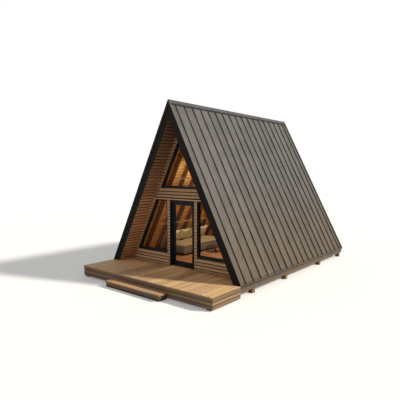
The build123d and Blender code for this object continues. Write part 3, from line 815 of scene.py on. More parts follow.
def edge_boards(y_face, half, y_back, z0, z1, seed):
    """Boards on edge from the top down: a front row, returns at the sides and a backing."""
    front = board_row(
        (0, y_face, z1), X, -Z, -Y, z1 - z0, SKIRT_PITCH,
        lambda offset: (-half, half), SKIRT_THICK, gap=SKIRT_GAP, seed=seed,
    )
    sides = []
    for sign in (1, -1):
        sides += board_row(
            (sign * half, 0, z1), Y, -Z, X * sign, z1 - z0, SKIRT_PITCH,
            lambda offset: (y_face + SKIRT_THICK, y_back), SKIRT_THICK, gap=SKIRT_GAP, seed=seed + sign,
        )
    foot, outer = z0 + BACKING_FOOT, half - SKIRT_THICK
    inner, y_inner = outer - BACKING, y_face + SKIRT_THICK + BACKING
    side = rectangle(inner, outer, foot, z1)
    backing = [prism(rectangle(-outer, outer, foot, z1), y_inner - BACKING, y_inner)]
    backing += [prism(outline, y_inner + END_GAP, y_back) for outline in (side, flipped(side))]
    return front, sides, backing


# %% Skirt and step
front_row, side_rows, skirt_backing_painted_shade = edge_boards(
    skirt_low.y, skirt_high.x, skirt_high.y, skirt_low.z, skirt_high.z, 41
)
new_piece("skirt_front_boards", front_row, skirt_wood, stands_for=("deck_skirt",))
new_piece("skirt_side_boards", side_rows, skirt_side_wood)

riser_low, riser_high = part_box("step_riser")
# The riser is a darker copy of the skirt's wood: painted shade under the tread.
riser_wood_painted_shade = wood(
    "riser_wood_painted_shade", swatch(114, 88, 62), swatch(78, 58, 40), X, Z, SKIRT_PITCH, riser_high.z - 2 * SKIRT_PITCH,
    shade=0.35, weather=0.25, edges=0.006,
)
front_row, side_rows, riser_backing_painted_shade = edge_boards(
    riser_low.y, riser_high.x, riser_high.y, riser_low.z, riser_high.z, 43
)
new_piece("step_riser_boards", front_row + side_rows, riser_wood_painted_shade, stands_for=("step_riser",))
# The backing is black paper: a painted shade of the dark space under the deck.
new_piece("skirt_backing_painted_shade", skirt_backing_painted_shade + riser_backing_painted_shade, core_dark)

# %% Tread of the step
tread_low, tread_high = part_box("step_tread")
TREAD_BOARDS, TREAD_GAP = 3, 0.006
TREAD_PITCH = (tread_high.y - tread_low.y) / TREAD_BOARDS
tread_wood = wood(
    "tread_wood", swatch(228, 182, 130), swatch(166, 120, 82), X, Y, TREAD_PITCH, tread_low.y,
    shade=0.3, weather=0.25, edges=0.004,
)
tread_row = board_row(
    (0, tread_low.y, tread_high.z), X, Y, Z, tread_high.y - tread_low.y, TREAD_PITCH,
    lambda offset: (tread_low.x, tread_high.x), tread_high.z - tread_low.z, gap=TREAD_GAP,
)
new_piece("step_tread_boards", tread_row, tread_wood, stands_for=("step_tread",))

# %% [markdown]
# ## Screws in the deck
# Every deck board is held by two screws on each joist. They are tiny, but a deck
# without them looks printed. Their rows are read off the joists. Each head could be an
# object that shares one mesh; flat eight-sided buttons are so light that one mesh of
# them all is simpler.

# %% Finish of the screws
steel = speckled(
    "screw_steel", swatch(150, 146, 138), swatch(110, 102, 92), swatch(168, 164, 156), 240.0, 3.0,
    {"Metallic": 0.9, "Roughness": 0.45},
)[0]
print("finish of the screws:", steel.name)

# %% Screws in the deck
SCREW_RADIUS, SCREW_RISE, SCREW_SUNK = 0.0045, 0.0006, 0.0002
SCREW_FROM_EDGE = 0.026


def button(centre, radius, rise, sides=8):
    """Flat round head that stands on a level face."""
    ring = [
        Vector((centre[0] + radius * math.cos(a), centre[1] + radius * math.sin(a), centre[2]))
        for a in (2 * math.pi * k / sides for k in range(sides))
    ]
    return between(ring, [p + Z * rise for p in ring])


def clusters(name, axis):
    """Start and end of each separate part of a solid piece along an axis."""
    edges = sorted({round(v.co[axis], 4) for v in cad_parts[name].data.vertices})
    return list(zip(edges[0::2], edges[1::2]))


heads = []
for start, stop in clusters("joists", 1):
    y = (start + stop) / 2
    if deck_high.y <= y <= BACK_FACE:
        continue
    for i in range(DECK_BOARDS):
        for x in (i * DECK_PITCH + SCREW_FROM_EDGE, (i + 1) * DECK_PITCH - SCREW_FROM_EDGE):
            heads.append(button((deck_low.x + x, y, DECK_Z - SCREW_SUNK), SCREW_RADIUS, SCREW_RISE))
new_piece("deck_screws", heads, steel)

# %% [markdown]
# ## Timber that is already there
# Posts, joists, rim boards, rafters, the ridge beam, ledges, purlins, casings and the
# table have their right shape as solids, and rebuilding them would only put their sizes
# at risk. They get eased edges and wood whose grain follows them: a rafter's grain runs
# down the slope, a purlin's along the room.

# %% Dressing a solid piece
def dress(name, finish, eased=0.0, segments=1):
    """Give a solid piece its finish and eased edges."""
    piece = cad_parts[name]
    if piece.material_slots:
        for place in piece.material_slots:
            place.material = finish
    else:
        piece.data.materials.append(finish)
    if eased:
        ease(piece, eased, segments)
    print(name, "is dressed in", finish.name)


# %% Finishes of the timber
treated = (swatch(118, 97, 70), swatch(76, 60, 40))
stained = (swatch(144, 93, 57), swatch(95, 59, 37))
posts_wood = wood("posts_wood", *treated, Z, X, 0.7, shade=0.3, roughness=0.75, weather=0.3)
joists_wood = wood("joists_wood", *treated, X, Y, 0.3, shade=0.4, roughness=0.75, weather=0.2)
rims_wood = wood("rims_wood", *treated, Y, Z, 0.5, roughness=0.75, weather=0.3)
rafter_wood = wood("rafter_wood", *stained, DOWN_SLOPE, Y, 0.285, shade=0.3, both=True)
beam_wood = wood("beam_wood", *stained, Y, Z, 1.0, first=0.1, shade=0.3)
rails_colours = (swatch(184, 134, 76), swatch(142, 96, 50))
rails_wood = wood("rails_wood", *rails_colours, Y, Z, 1.0, first=0.1, shade=0.3)
trim_colours = (swatch(220, 186, 144), swatch(184, 148, 108))
casing_wood = wood("casing_wood", *trim_colours, Z, X, 0.16, shade=0.2)
head_trim_wood = wood("head_trim_wood", *trim_colours, X, Z, 0.4, shade=0.2)
table_wood = wood("table_wood", swatch(106, 70, 42), swatch(74, 46, 26), Y, X, 0.12, roughness=0.45)
print("timber finishes:", posts_wood.name, rafter_wood.name, casing_wood.name, table_wood.name)

# %% Timber
dress("posts", posts_wood, 0.004)
dress("joists", joists_wood, 0.003)
dress("rim_boards", rims_wood, 0.003)
dress("rafters", rafter_wood, 0.004)
dress("ridge_beam", beam_wood, 0.004)
dress("ledges", rails_wood, 0.003)
dress("purlins", beam_wood, 0.003)
dress("casings", casing_wood, 0.0015)
dress("head_trims", head_trim_wood, 0.003)
dress("coffee_table", table_wood, 0.003, 2)

# %% [markdown]
# ## Standing seam roof
# The roof is painted steel: flat trays with upright folded seams between them. The
# folds are already there as solids. From a distance the paint looks even, but a tray is
# never quite flat, so light wavers on it, and rain leaves faint streaks down the slope.
# The waver is a large soft bump, the streaks a noise stretched down the slope, and each
# tray gets a slightly different tone. The folds of the seams and the strips that close the
# cap between them are darkened as painted shade; they are found by their depth under the
# roof's face. Low on the slope the steel is tinted warm, as a painted bounce light. The
# verge sheets are the same steel; the cap is a darker copy of it, as painted shade.

# %% Roof finish
SEAM_PITCH = 0.393
SEAM_FIRST = RAKE_FRONT + 0.270
STREAK_ACROSS, STREAK_DOWN = 18.0, 0.7
WAVER_ACROSS, WAVER_DOWN = 4.5, 1.6
TRAY_TONE, STREAK_TONE, DUST_TONE = 0.25, 0.45, 0.45
WAVER_HEIGHT = 0.012
PAINTED_BOUNCE_LOW, PAINTED_BOUNCE_HIGH = 0.8, 3.8
PAINTED_BOUNCE_TINT = (1.20, 0.92, 0.53, 1.0)


def painted_steel(name, pale, dark, roughness=0.42, metallic=0.35):
    """Painted steel sheet in trays, with streaks, a waver in the light and a warm painted bounce light low
    on the slope.
    """
    finish, tree, shader = new_finish(name, pale, {"Metallic": metallic})
    place = add(tree, "TexCoord").outputs["Object"]
    x, y, z = add(tree, "SeparateXYZ", {0: place}).outputs
    fall = maths(tree, "MULTIPLY", z, -1 / math.sin(SLOPE))

    def sloped(across, down):
        """The place stretched along the eaves and down the slope."""
        return combined(tree, x, maths(tree, "MULTIPLY", y, across), maths(tree, "MULTIPLY", fall, down))

    from_first = maths(tree, "SUBTRACT", y, SEAM_FIRST)
    tray = maths(tree, "FLOOR", maths(tree, "DIVIDE", from_first, SEAM_PITCH))
    chance = add(tree, "TexWhiteNoise", {"W": tray}, noise_dimensions="1D").outputs["Value"]
    streak = noise(tree, sloped(STREAK_ACROSS, STREAK_DOWN), 1.0, 5.0)
    dust = noise(tree, place, 2.2, 6.0, Roughness=0.65)
    tone = maths(tree, "MULTIPLY_ADD", chance, TRAY_TONE, maths(tree, "MULTIPLY", streak, STREAK_TONE))
    tone = maths(tree, "MULTIPLY_ADD", dust, DUST_TONE, tone)
    colour = mixed(tree, spread(tree, tone, 0.3, 0.85), dark, pale)
    # Towards the foot the steel is tinted warm: painted bounce light from the deck.
    height = maths(tree, "MULTIPLY_ADD", dust, 0.8, z)
    painted_bounce = spread(tree, height, PAINTED_BOUNCE_LOW, PAINTED_BOUNCE_HIGH, 0.95, 0.0)
    colour = mixed(tree, painted_bounce, colour, PAINTED_BOUNCE_TINT, "MULTIPLY")
    tree.links.new(colour, shader.inputs["Base Color"])
    polish = spread(tree, dust, 0.3, 0.7, roughness - 0.05, roughness + 0.08)
    tree.links.new(polish, shader.inputs["Roughness"])
    bump(tree, shader, noise(tree, sloped(WAVER_ACROSS, WAVER_DOWN), 1.0, 1.0), 0.35, WAVER_HEIGHT)
    return finish


# %% Painted shade in the folds
def painted_shade_between(finish, shallow, deep, kept):
    """Darken, as painted shade, the steel between two depths under the roof's face."""
    tree = finish.node_tree
    depth = depth_under_roof(tree)
    below_first = maths(tree, "GREATER_THAN", depth, shallow)
    above_last = maths(tree, "LESS_THAN", depth, deep)
    tint(finish, maths(tree, "MULTIPLY", below_first, above_last), (kept, kept, kept, 1.0))


roof_colours = (swatch(79, 75, 70), swatch(61, 57, 53))
# The cap and the eaves strip are a darker copy of the roof steel: painted shade.
steel_colours_in_painted_shade = (swatch(54, 52, 50), swatch(43, 41, 39))
roof_steel = painted_steel("roof_steel", *roof_colours)
seamed_steel = painted_steel("seamed_steel", *roof_colours)
cap_steel = painted_steel("cap_steel", *steel_colours_in_painted_shade)
PAN_DEPTH, CAP_SHEET = 0.032, 0.0045
# Painted shade in the folds of the seams and under the cap's flaps.
painted_shade_between(seamed_steel, -0.01, PAN_DEPTH - 0.004, 0.45)
painted_shade_between(cap_steel, CAP_SHEET, PAN_DEPTH + 0.01, 0.25)

# %% Roof
dress("roof_skin_right", seamed_steel)
dress("roof_skin_left", seamed_steel)
dress("ridge_cap", cap_steel)
dress("verge_sheets", roof_steel)

# %% [markdown]
# ## Eaves
# At its foot the sheet has to throw the rain clear of the deck's edge. A folded strip
# does that: it lies on the trays, turns down over the edge of the boards and ends in a
# small kick. A bent plane with a solidify modifier would do, but the fold is the same
# all along, so one outline drawn along the eaves is enough, flipped for the other side.

# %% Drip strips at the eaves
STRIP, IN_PAN = 0.0012, 0.001
DRIP_FRONT, DRIP_BACK = RAKE_FRONT + 0.04, RAKE_BACK - 0.028
TRAY_HEIGHTS, EDGE_HEIGHTS = (DECK_Z + 0.042, DECK_Z + 0.026), (DECK_Z - 0.012, DECK_Z - 0.050)
EDGE_INSET, KICK_INSET, KICK_DROP = 0.008, 0.002, 0.058
on_tray = [(roof_x(PAN_DEPTH - IN_PAN, z), z) for z in TRAY_HEIGHTS]
down_edge = [(cad_high.x - EDGE_INSET, z) for z in EDGE_HEIGHTS]
kick = (cad_high.x - KICK_INSET, DECK_Z - KICK_DROP)
drip_line = [*on_tray, *down_edge, kick]
strip = [*drip_line, *((x + STRIP, z) for x, z in reversed(drip_line))]
drips = [prism(outline, DRIP_FRONT, DRIP_BACK) for outline in (strip, flipped(strip))]
# The drip strip takes the darker copy of the steel: a painted shade under the eaves.
drip_steel_painted_shade = painted_steel("drip_steel_painted_shade", *steel_colours_in_painted_shade)
new_piece("eaves_drip", drips, drip_steel_painted_shade)

# %% [markdown]
# ## Rakes and roof core
# The rakes are broad boards painted black. Paint on timber keeps a trace of the grain
# and wears to brown along the edges. The Bevel node finds those edges: its rounded
# normal leaves the true one only there. A noise breaks the wear up, so that it looks
# handled and not outlined.

# %% Black painted boards
def black_paint(name, colour, worn_colour, roughness, grain, worn_width):
    """Black paint with a trace of grain, worn along the edges."""
    finish, tree, shader = new_finish(name, colour, {"Specular IOR Level": 0.12})
    place = add(tree, "TexCoord").outputs["Object"]
    rounded = add(tree, "Bevel", {"Radius": worn_width}, samples=4).outputs["Normal"]
    flat = add(tree, "NewGeometry").outputs["Normal"]
    edge = spread(tree, dot(tree, rounded, flat), 0.85, 0.99, 1.0, 0.0)
    speck = spread(tree, noise(tree, place, 35.0, 5.0), 0.45, 0.65)
    cloud = noise(tree, place, 3.0, 4.0)
    tone = mixed(tree, spread(tree, cloud, 0.3, 0.7), colour, scaled(colour, 1.7))
    painted = mixed(tree, maths(tree, "MULTIPLY", edge, speck), tone, worn_colour)
    tree.links.new(painted, shader.inputs["Base Color"])
    polish = spread(tree, cloud, 0.3, 0.7, roughness - 0.05, roughness + 0.08)
    tree.links.new(polish, shader.inputs["Roughness"])
    bump(tree, shader, noise(tree, place, grain, 3.0), 0.25, 0.0006)
    return finish


rake_black = black_paint("rake_black", swatch(15, 13, 12), swatch(58, 44, 34), 0.6, 60.0, 0.006)
for name in ("front_rake_right", "front_rake_left", "back_rake_right", "back_rake_left", "rake_trim"):
    dress(name, rake_black, 0.003)
for name in ("roof_core_right", "roof_core_left"):
    dress(name, core_dark)

# %% [markdown]
# ## Frames and door
# The window frames, the door and its frame are black powder-coated profiles. Powder
# coat is satin with a very fine orange peel, so the same paint is used with a finer
# bump. Rubber gaskets hold the glass on both sides; each is a thin ring inside the
# sight line of its frame, made from the outline of the opening.

# %% Frames
frame_black = black_paint("frame_black", swatch(23, 26, 27), swatch(60, 60, 57), 0.45, 900.0, 0.0025)
for name in ("front_window_frames", "back_window_frames", "door_frame", "door_leaf", "threshold"):
    dress(name, frame_black, 0.002, 2)

# %% Finish of the gaskets
rubber, rubber_tree, rubber_shader, grit = speckled(
    "gasket_rubber", swatch(18, 18, 18), swatch(12, 12, 12), swatch(30, 30, 30), 700.0, 2.0,
    {"Roughness": 0.8},
)
bump(rubber_tree, rubber_shader, grit, 0.3, 0.0004)
print("finish of the gaskets:", rubber.name)

# %% Shape of a gasket
FRAME_FACE, SILL_FACE, BEAD = 0.050, 0.075, 0.009


def bead(outline, y0, y1):
    """Thin closed ring just inside an outline, four flat sides round its section."""
    inner = shrunk(outline, BEAD)
    count = len(outline)
    section = ((outline, y0), (inner, y0), (inner, y1), (outline, y1))
    points = [Vector((x, y, z)) for line, y in section for x, z in line]
    faces = []
    for k in range(len(section)):
        a, b = k * count, (k + 1) % len(section) * count
        for i in range(count):
            j = (i + 1) % count
            faces.append((a + i, a + j, b + j, b + i))
    return points, faces


def sight_line(outline):
    """Where a frame ends and its glass begins; the sill's face is broader."""
    raised = SILL_FACE - FRAME_FACE
    (x0, z0), (x1, _), *above = outline
    left, right = above[-1], above[0]
    share = raised / (right[1] - z0)
    low_left = (x0 + (left[0] - x0) * share, z0 + raised)
    low_right = (x1 + (right[0] - x1) * share, z0 + raised)
    return shrunk([low_left, low_right, *above], FRAME_FACE)


# %% Gaskets of the windows
GASKET, OUTER_GASKET = 0.006, 0.008
glass_front = corners_box("window_glass", lambda p: p.y < 0)
glass_back = corners_box("window_glass", lambda p: p.y > 0)
beads = []
for outline in windows:
    sight = sight_line(outline)
    for pane_low, pane_high in (glass_front, glass_back):
        beads.append(bead(sight, pane_low.y - OUTER_GASKET, pane_low.y))
        beads.append(bead(sight, pane_high.y, pane_high.y + GASKET))
new_piece("window_gaskets", beads, rubber)

# %% Gaskets of the door
pane_low, pane_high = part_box("door_glass")
GROOVE = 0.014
door_sight = rectangle(
    pane_low.x + GROOVE, pane_high.x - GROOVE, pane_low.z + GROOVE, pane_high.z - GROOVE
)
door_beads = [
    bead(door_sight, pane_low.y - GASKET, pane_low.y),
    bead(door_sight, pane_high.y, pane_high.y + GASKET),
]
new_piece("door_gaskets", door_beads, rubber, body="door")

# %% [markdown]
# ## Glass
# Window glass is nearly clear: seen straight on it mirrors a few hundredths of the
# light, and more and more towards a glancing view. Full transmission would also bend
# the light and keep the sun out of the room. So the shader is a mirror whose alpha is
# the mirrored share, and light passes through the rest. The facing value of Layer
# Weight works on both sides of a pane.

# %% Glass
def window_pane(name, colour, head_on):
    """Clear pane: a mirror that shows only as much as glass mirrors at that angle."""
    finish, tree, shader = new_finish(name, colour, {"Metallic": 1.0, "Roughness": 0.02})
    facing = add(tree, "LayerWeight", {"Blend": 0.5}).outputs["Facing"]
    mirror = maths(tree, "MULTIPLY_ADD", maths(tree, "POWER", facing, 5.0), 0.9, head_on)
    smear = spread(tree, noise(tree, None, 2.5, 3.0), 0.3, 0.7, 0.015, 0.05)
    tree.links.new(smear, shader.inputs["Roughness"])
    tree.links.new(mirror, shader.inputs["Alpha"])
    return finish


clear_glass = window_pane("clear_glass", swatch(100, 108, 110), 0.03)
dress("window_glass", clear_glass)
dress("door_glass", clear_glass)

# %% [markdown]
# ## Hinges and handles
# The hinges and levers are small dark castings, and their shapes are already right as
# solids. Hands polish them, so the paint is smoother and its edges show paler metal.

# %% Hinges and handles
dark_metal = black_paint("dark_metal", swatch(34, 34, 34), swatch(96, 92, 86), 0.3, 500.0, 0.001)
dress("frame_hinges", dark_metal, 0.0008)
dress("leaf_hinges", dark_metal, 0.0008)
dress("door_handles", dark_metal)

# %% [markdown]
# ## Cloth
# The seat's covers are a coarse woven cloth. Two waves at right angles are its threads;
# where they cross, the surface bulges, and a noise makes some threads thicker and
# darker than others. An image of a weave would show its edges on a curved cushion; the
# waves have none. Cloth also has a soft sheen, which is one number on the shader.

# %% Cloth finish
THREAD = 0.0032


def woven(name, pale, dark, sheen):
    """Plain weave with uneven threads."""
    finish, tree, shader = new_finish(
        name, pale, {"Roughness": 0.9, "Sheen Weight": sheen, "Sheen Roughness": 0.5}
    )
    place = add(tree, "TexCoord").outputs["Object"]
    rows = []
    for along in add(tree, "SeparateXYZ", {0: place}).outputs:
        turns = maths(tree, "MULTIPLY", along, 2 * math.pi / THREAD)
        rows.append(maths(tree, "SINE", turns))
    weave = maths(tree, "MULTIPLY", maths(tree, "ADD", rows[0], rows[2]), rows[1])
    slub = noise(tree, place, 90.0, 4.0)
    cloud = noise(tree, place, 5.0, 3.0)
    tone = maths(tree, "MULTIPLY_ADD", slub, 0.6, maths(tree, "MULTIPLY", cloud, 0.3))
    tone = maths(tree, "MULTIPLY_ADD", weave, 0.12, tone)
    tree.links.new(mixed(tree, spread(tree, tone, 0.2, 0.7), dark, pale), shader.inputs["Base Color"])
    bump(tree, shader, maths(tree, "MULTIPLY_ADD", slub, 0.5, weave), 0.35, 0.0008)
    return finish


seat_cloth = woven("seat_cloth", swatch(192, 168, 116), swatch(152, 130, 86), 0.15)
pillow_cloth = woven("pillow_cloth", swatch(248, 240, 190), swatch(218, 206, 150), 0.15)
base_cloth = woven("base_cloth", swatch(150, 138, 128), swatch(114, 104, 96), 0.12)
print("cloths:", seat_cloth.name, pillow_cloth.name, base_cloth.name)

# %% [markdown]
# ## Sofa body
# Under the seat cushions is an upholstered body on a recessed plinth. Cloth stretched
# over a frame has soft edges and a welt where two pieces meet, so the body is a block
# with broad rounded edges, and the plinth under it is a plain dark board.

# %% Rounded blocks
def rounded_block(low, high, radius, segments=4):
    """Mesh of a block with all its edges rounded."""
    shape = bmesh.new()
    bmesh.ops.create_cube(shape, size=1.0)
    size, middle = high - low, (low + high) / 2
    for vert in shape.verts:
        vert.co = middle + Vector([vert.co[i] * size[i] for i in range(3)])
    bmesh.ops.bevel(
        shape, geom=shape.edges[:], offset=radius, segments=segments, profile=0.5, affect="EDGES"
    )
    points = [v.co.copy() for v in shape.verts]
    faces = [tuple(v.index for v in face.verts) for face in shape.faces]
    shape.free()
    return points, faces


# %% Sofa body
base_low, base_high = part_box("sofa_base")
PLINTH, PLINTH_SETBACK = 0.070, 0.090
BODY_ROUND, PLINTH_ROUND = 0.034, 0.004
body = rounded_block(base_low + Z * PLINTH, base_high, BODY_ROUND)
new_piece("sofa_body", [body], base_cloth, stands_for=("sofa_base",))
plinth = rounded_block(
    base_low + Y * PLINTH_SETBACK,
    Vector((base_high.x - PLINTH_SETBACK, base_high.y - PLINTH_SETBACK, base_low.z + PLINTH)),
    PLINTH_ROUND, 2,
)
plinth_wood = wood("plinth_wood", swatch(90, 62, 42), swatch(58, 38, 26), Y, Z, 0.2)
new_piece("sofa_plinth", [plinth], plinth_wood)

# %% [markdown]
# ## Cushions
# A cushion is a closed cover blown up by its filling: crowned in the middle, pulled in
# between the corners, flat where it rests. Modelling that by hand is slow, and cloth
# simulation does it in seconds. Each cover starts as a rounded block, is remeshed into
# small even faces, and is pressed out from inside with gravity off. Afterwards the
# underside is flattened and the cushion is scaled until it just fills its space.

# %% Covers
VOXEL = 0.010


def cover(name, low, high, radius, finish, nodes):
    """A closed cover in small even faces, ready to be stuffed."""
    piece = new_piece(name, [rounded_block(low, high, radius)], finish, stands_for=nodes)
    remesh = piece.modifiers.new("even faces", "REMESH")
    remesh.mode = "VOXEL"
    remesh.voxel_size = VOXEL
    remesh.use_smooth_shade = True
    apply_modifiers(piece)
    return piece


def reach(piece):
    """Lowest and highest corner of a piece's own mesh."""
    return extent([v.co for v in piece.data.vertices])


# %% Stuffing
FRAMES = 20


def stuff(covers, pressure):
    """Blow up covers together, and flatten the undersides that they rest on."""
    lows = [reach(piece)[0] for piece in covers]
    for piece in covers:
        cloth = piece.modifiers.new("stuffing", "CLOTH")
        cloth.settings.use_pressure = True
        cloth.settings.uniform_pressure_force = pressure
        cloth.settings.effector_weights.gravity = 0.0
        cloth.point_cache.frame_start = 1
        cloth.point_cache.frame_end = FRAMES
    for number in range(1, FRAMES + 1):
        bpy.context.scene.frame_set(number)
    for piece, low in zip(covers, lows):
        apply_modifiers(piece)
        for vert in piece.data.vertices:
            vert.co.z = max(vert.co.z, low.z)
    bpy.context.scene.frame_set(1)


def fill_space(piece, low, high):
    """Scale a cushion along each axis until it just fills its space."""
    was_low, was_high = reach(piece)
    for vert in piece.data.vertices:
        for axis in range(3):
            share = (vert.co[axis] - was_low[axis]) / (was_high[axis] - was_low[axis])
            vert.co[axis] = low[axis] + share * (high[axis] - low[axis])


# %% [markdown]
# ## Piping
# Where two panels of a cover meet, the maker sews in a thin cord wrapped in the same
# cloth. The seam's points are picked while the cover is still a block, because there
# they lie in one plane, and are read again from the stuffed cushion, so the cord
# follows every bulge. A curve with a round bevel is the cord, turned into a mesh at
# once.

# %% Seams
def seam(piece, axis, place):
    """Numbers of the vertices of a cover along one seam, in order round the cover."""
    low, high = reach(piece)
    middle = (low + high) / 2
    a, b = [i for i in range(3) if i != axis]
    ring = [v for v in piece.data.vertices if abs(v.co[axis] - place) < VOXEL / 2]
    ring.sort(key=lambda v: math.atan2(v.co[b] - middle[b], v.co[a] - middle[a]))
    return [v.index for v in ring]


# %% Piping
PIPING = 0.0035


def smoothed(points, times=4):
    """Points of a closed line, each drawn towards its two neighbours."""
    for _ in range(times):
        after = points[1:] + points[:1]
        points = [(points[i - 1] + 2 * p + after[i]) / 4 for i, p in enumerate(points)]
    return points


def piping(name, piece, seams, finish):
    """A thin cord in each seam of a cushion that has its final shape."""
    cord = bpy.data.curves.new(name, "CURVE")
    cord.dimensions = "3D"
    cord.bevel_depth = PIPING
    cord.bevel_resolution = 1
    for numbers in seams:
        points = smoothed([piece.data.vertices[i].co.copy() for i in numbers])
        line = cord.splines.new("POLY")
        line.points.add(len(points) - 1)
        line.use_cyclic_u = True
        for place, point in zip(line.points, points):
            place.co = (*point, 1.0)
    drawn = new_object(name, cord)
    mesh = shaped_mesh(drawn)
    bpy.data.objects.remove(drawn)
    mesh.materials.clear()
    mesh.materials.append(finish)
    made = new_object(name, mesh)
    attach(made, "cabin")


# %% From covers to cushions
def leaned_back(piece, foot):
    """Shear an upright cushion until it lies along the slope; its foot stays level."""
    for vert in piece.data.vertices:
        vert.co.x += (vert.co.z - foot) / TAN


def cushions(covers, spaces, seams, pressure, finish, foot=None):
    """Stuff covers together, bring each to the size of its space, and pipe it."""
    stuff(covers, pressure)
    for piece, (low, high), numbers in zip(covers, spaces, seams):
        fill_space(piece, low, high)
        if foot is not None:
            leaned_back(piece, foot)
        piping(piece.name + "_piping", piece, numbers, finish)
    print("cushions:", [piece.name for piece in covers])


# %% [markdown]
# ## Seat cushions
# Three thick cushions lie side by side on the body, firm and only slightly crowned.
# They are stuffed together in one simulation, because that takes no longer than one.
# A seat cushion has a panel round its sides, and so a seam at its top and its bottom.

# %% Seat cushions
SEAT_ROUND, SEAT_CLEAR = 0.038, 0.004
SEAT_CROWN = 0.03
SEAT_PRESSURE = 1.0
LIFT = 0.0005
seam_in = SEAT_ROUND * 0.8
seat_low, seat_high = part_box("sofa_seats")
seats, seat_spaces, seat_seams = [], [], []
for k, (y0, y1) in enumerate(clusters("sofa_seats", 1)):
    low = Vector((seat_low.x + SEAT_CLEAR, y0 + SEAT_CLEAR, seat_low.z + LIFT))
    high = Vector((seat_high.x - SEAT_CLEAR, y1 - SEAT_CLEAR, seat_high.z))
    piece = cover(
        f"seat_cushion_{k + 1}", low, high - Z * SEAT_CROWN, SEAT_ROUND,
        seat_cloth, ("sofa_seats",),
    )
    seats.append(piece)
    seat_spaces.append((low, high))
    seat_seams.append([seam(piece, 2, low.z + seam_in), seam(piece, 2, high.z - SEAT_CROWN - seam_in)])
cushions(seats, seat_spaces, seat_seams, SEAT_PRESSURE, seat_cloth)

# %% [markdown]
# ## Back cushions
# Four softer cushions lean against the slope behind the seat. Each is two panels with
# one seam, fat in the middle and thin at the rim. They are stuffed upright, where the
# sums are simple, and then leaned back by a shear, which keeps their flat foot level.

# %% Back cushions
PILLOW_THICK = 0.150
PILLOW_START, PILLOW_ROUND = 0.095, 0.046
PILLOW_PRESSURE = 1.6
pillow_low, pillow_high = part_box("sofa_pillows")
pillow_deep = PILLOW_THICK / math.sin(SLOPE)
pillows, pillow_spaces, pillow_seams = [], [], []
for k, (y0, y1) in enumerate(clusters("sofa_pillows", 1)):
    low = Vector((pillow_low.x + PIPING, y0 + PIPING, pillow_low.z + LIFT))
    high = Vector((pillow_low.x + pillow_deep - PIPING, y1 - PIPING, pillow_high.z - PIPING))
    piece = cover(
        f"back_cushion_{k + 1}", low, Vector((low.x + PILLOW_START, high.y, high.z)), PILLOW_ROUND,
        pillow_cloth, ("sofa_pillows",),
    )
    pillows.append(piece)
    pillow_spaces.append((low, high))
    pillow_seams.append([seam(piece, 0, low.x + PILLOW_START / 2)])
cushions(
    pillows, pillow_spaces, pillow_seams, PILLOW_PRESSURE, pillow_cloth,
    foot=pillow_low.z,
)

# %% [markdown]
# ## Studio floor and sky
# The object stands on a plain pale floor under an even white sky. To the camera, to
# mirrors and through glass the sky is plain white; what lights the object is dimmer, so
# that no colour is washed out. A bright lamp could whiten the background too, but it
# would bleach the boards. Light Path tells the two kinds of ray apart.

# %% Floor
FLOOR_HALF, FLOOR_GLOW = 60.0, 0.22
WHITE = (1.0, 1.0, 1.0, 1.0)
floor_paint, floor_tree, floor_shader = new_finish(
    "studio_floor", swatch(226, 225, 222), {"Roughness": 0.9, "Emission Color": WHITE}
)
seen = add(floor_tree, "LightPath").outputs["Is Camera Ray"]
glow = maths(floor_tree, "MULTIPLY", seen, FLOOR_GLOW)
floor_tree.links.new(glow, floor_shader.inputs["Emission Strength"])
corners = [(x * FLOOR_HALF, y * FLOOR_HALF, 0) for x, y in ((-1, -1), (1, -1), (1, 1), (-1, 1))]
floor_mesh = bpy.data.meshes.new("studio_floor")
floor_mesh.from_pydata(corners, [], [(0, 1, 2, 3)])
floor_mesh.materials.append(floor_paint)
studio_floor = new_object("studio_floor", floor_mesh)
print("floor:", 2 * FLOOR_HALF, "m wide")

# %% Sky
FILL = 0.32
world = bpy.data.worlds.new("studio")
bpy.context.scene.world = world
world.use_nodes = True
sky = world.node_tree
path = add(sky, "LightPath").outputs
shown = maths(sky, "MAXIMUM", path["Is Camera Ray"], path["Is Glossy Ray"])
shown = maths(sky, "MAXIMUM", shown, path["Is Transmission Ray"])
background = sky.nodes["Background"]
background.inputs["Color"].default_value = WHITE
strength = maths(sky, "MULTIPLY_ADD", shown, 1.0 - FILL, FILL)
sky.links.new(strength, background.inputs["Strength"])
print("sky: 1 where it is seen,", FILL, "where it lights")

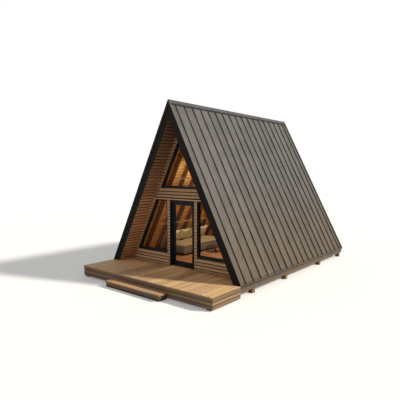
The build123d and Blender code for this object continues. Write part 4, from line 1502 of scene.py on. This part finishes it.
# %% [markdown]
# ## Lamps
# A broad sun from the back right gives the light triangle on the deck. Two long warm
# lamps hang in the room, out of the camera's sight: one shines down on floor and walls,
# the other up under the peak, so that the room glows warm behind the glass.

# %% Sun
SUN_FROM = Vector((0.725, 0.383, 0.574))
sun = new_object("sun", bpy.data.lights.new("sun", "SUN"))
sun.data.energy = 4.35
sun.data.angle = math.radians(6)
sun.data.color = (1.0, 0.95, 0.87)
sun.rotation_mode = "QUATERNION"
sun.rotation_quaternion = SUN_FROM.to_track_quat("Z", "Y")
print("sun:", round(math.degrees(math.asin(SUN_FROM.normalized().z))), "degrees high")


# %% Lamps in the room
LAMP_WIDTH, LAMP_LENGTH = 0.5, 3.6
LAMP_Y = FRONT_INNER + 2.3
WARM = (1.0, 0.93, 0.8)


def room_lamp(name, energy, z, turn):
    """Long warm lamp along the middle of the room."""
    lamp = new_object(name, bpy.data.lights.new(name, "AREA"))
    lamp.data.shape = "RECTANGLE"
    lamp.data.size = LAMP_WIDTH
    lamp.data.size_y = LAMP_LENGTH
    lamp.data.energy = energy
    lamp.data.color = WARM
    lamp.location = (0, LAMP_Y, z)
    lamp.rotation_euler = (0, turn, 0)
    lamp.visible_camera = False
    lamp.visible_glossy = False
    print(name, energy, "W at", round(z, 2), "m")


DOWNWARDS, UPWARDS = 0.0, math.pi
room_lamp("room_lamp", 84.0, roof_z(SOFFIT_DEPTH) - 1.2, DOWNWARDS)
room_lamp("roof_lamp", 5.0, HEAD_Z + 0.1, UPWARDS)

# %% [markdown]
# ## Camera
# The camera stands where the straight edges of the cabin say that it stood: roof, deck,
# door and seams were solved together for one place, one direction and one lens. Colours
# are shown as they are written, without a film look.

# %% Camera
camera = new_object("camera", bpy.data.cameras.new("camera"))
camera.location = (8.571, -11.645, 3.417)
camera.rotation_euler = (math.radians(85.94), 0, math.radians(39.80))
camera.data.lens = 36.33
camera.data.sensor_width = 36.0
bpy.context.scene.camera = camera
bpy.context.scene.view_settings.view_transform = "Standard"
print("camera with a lens of", round(camera.data.lens, 2), "mm")
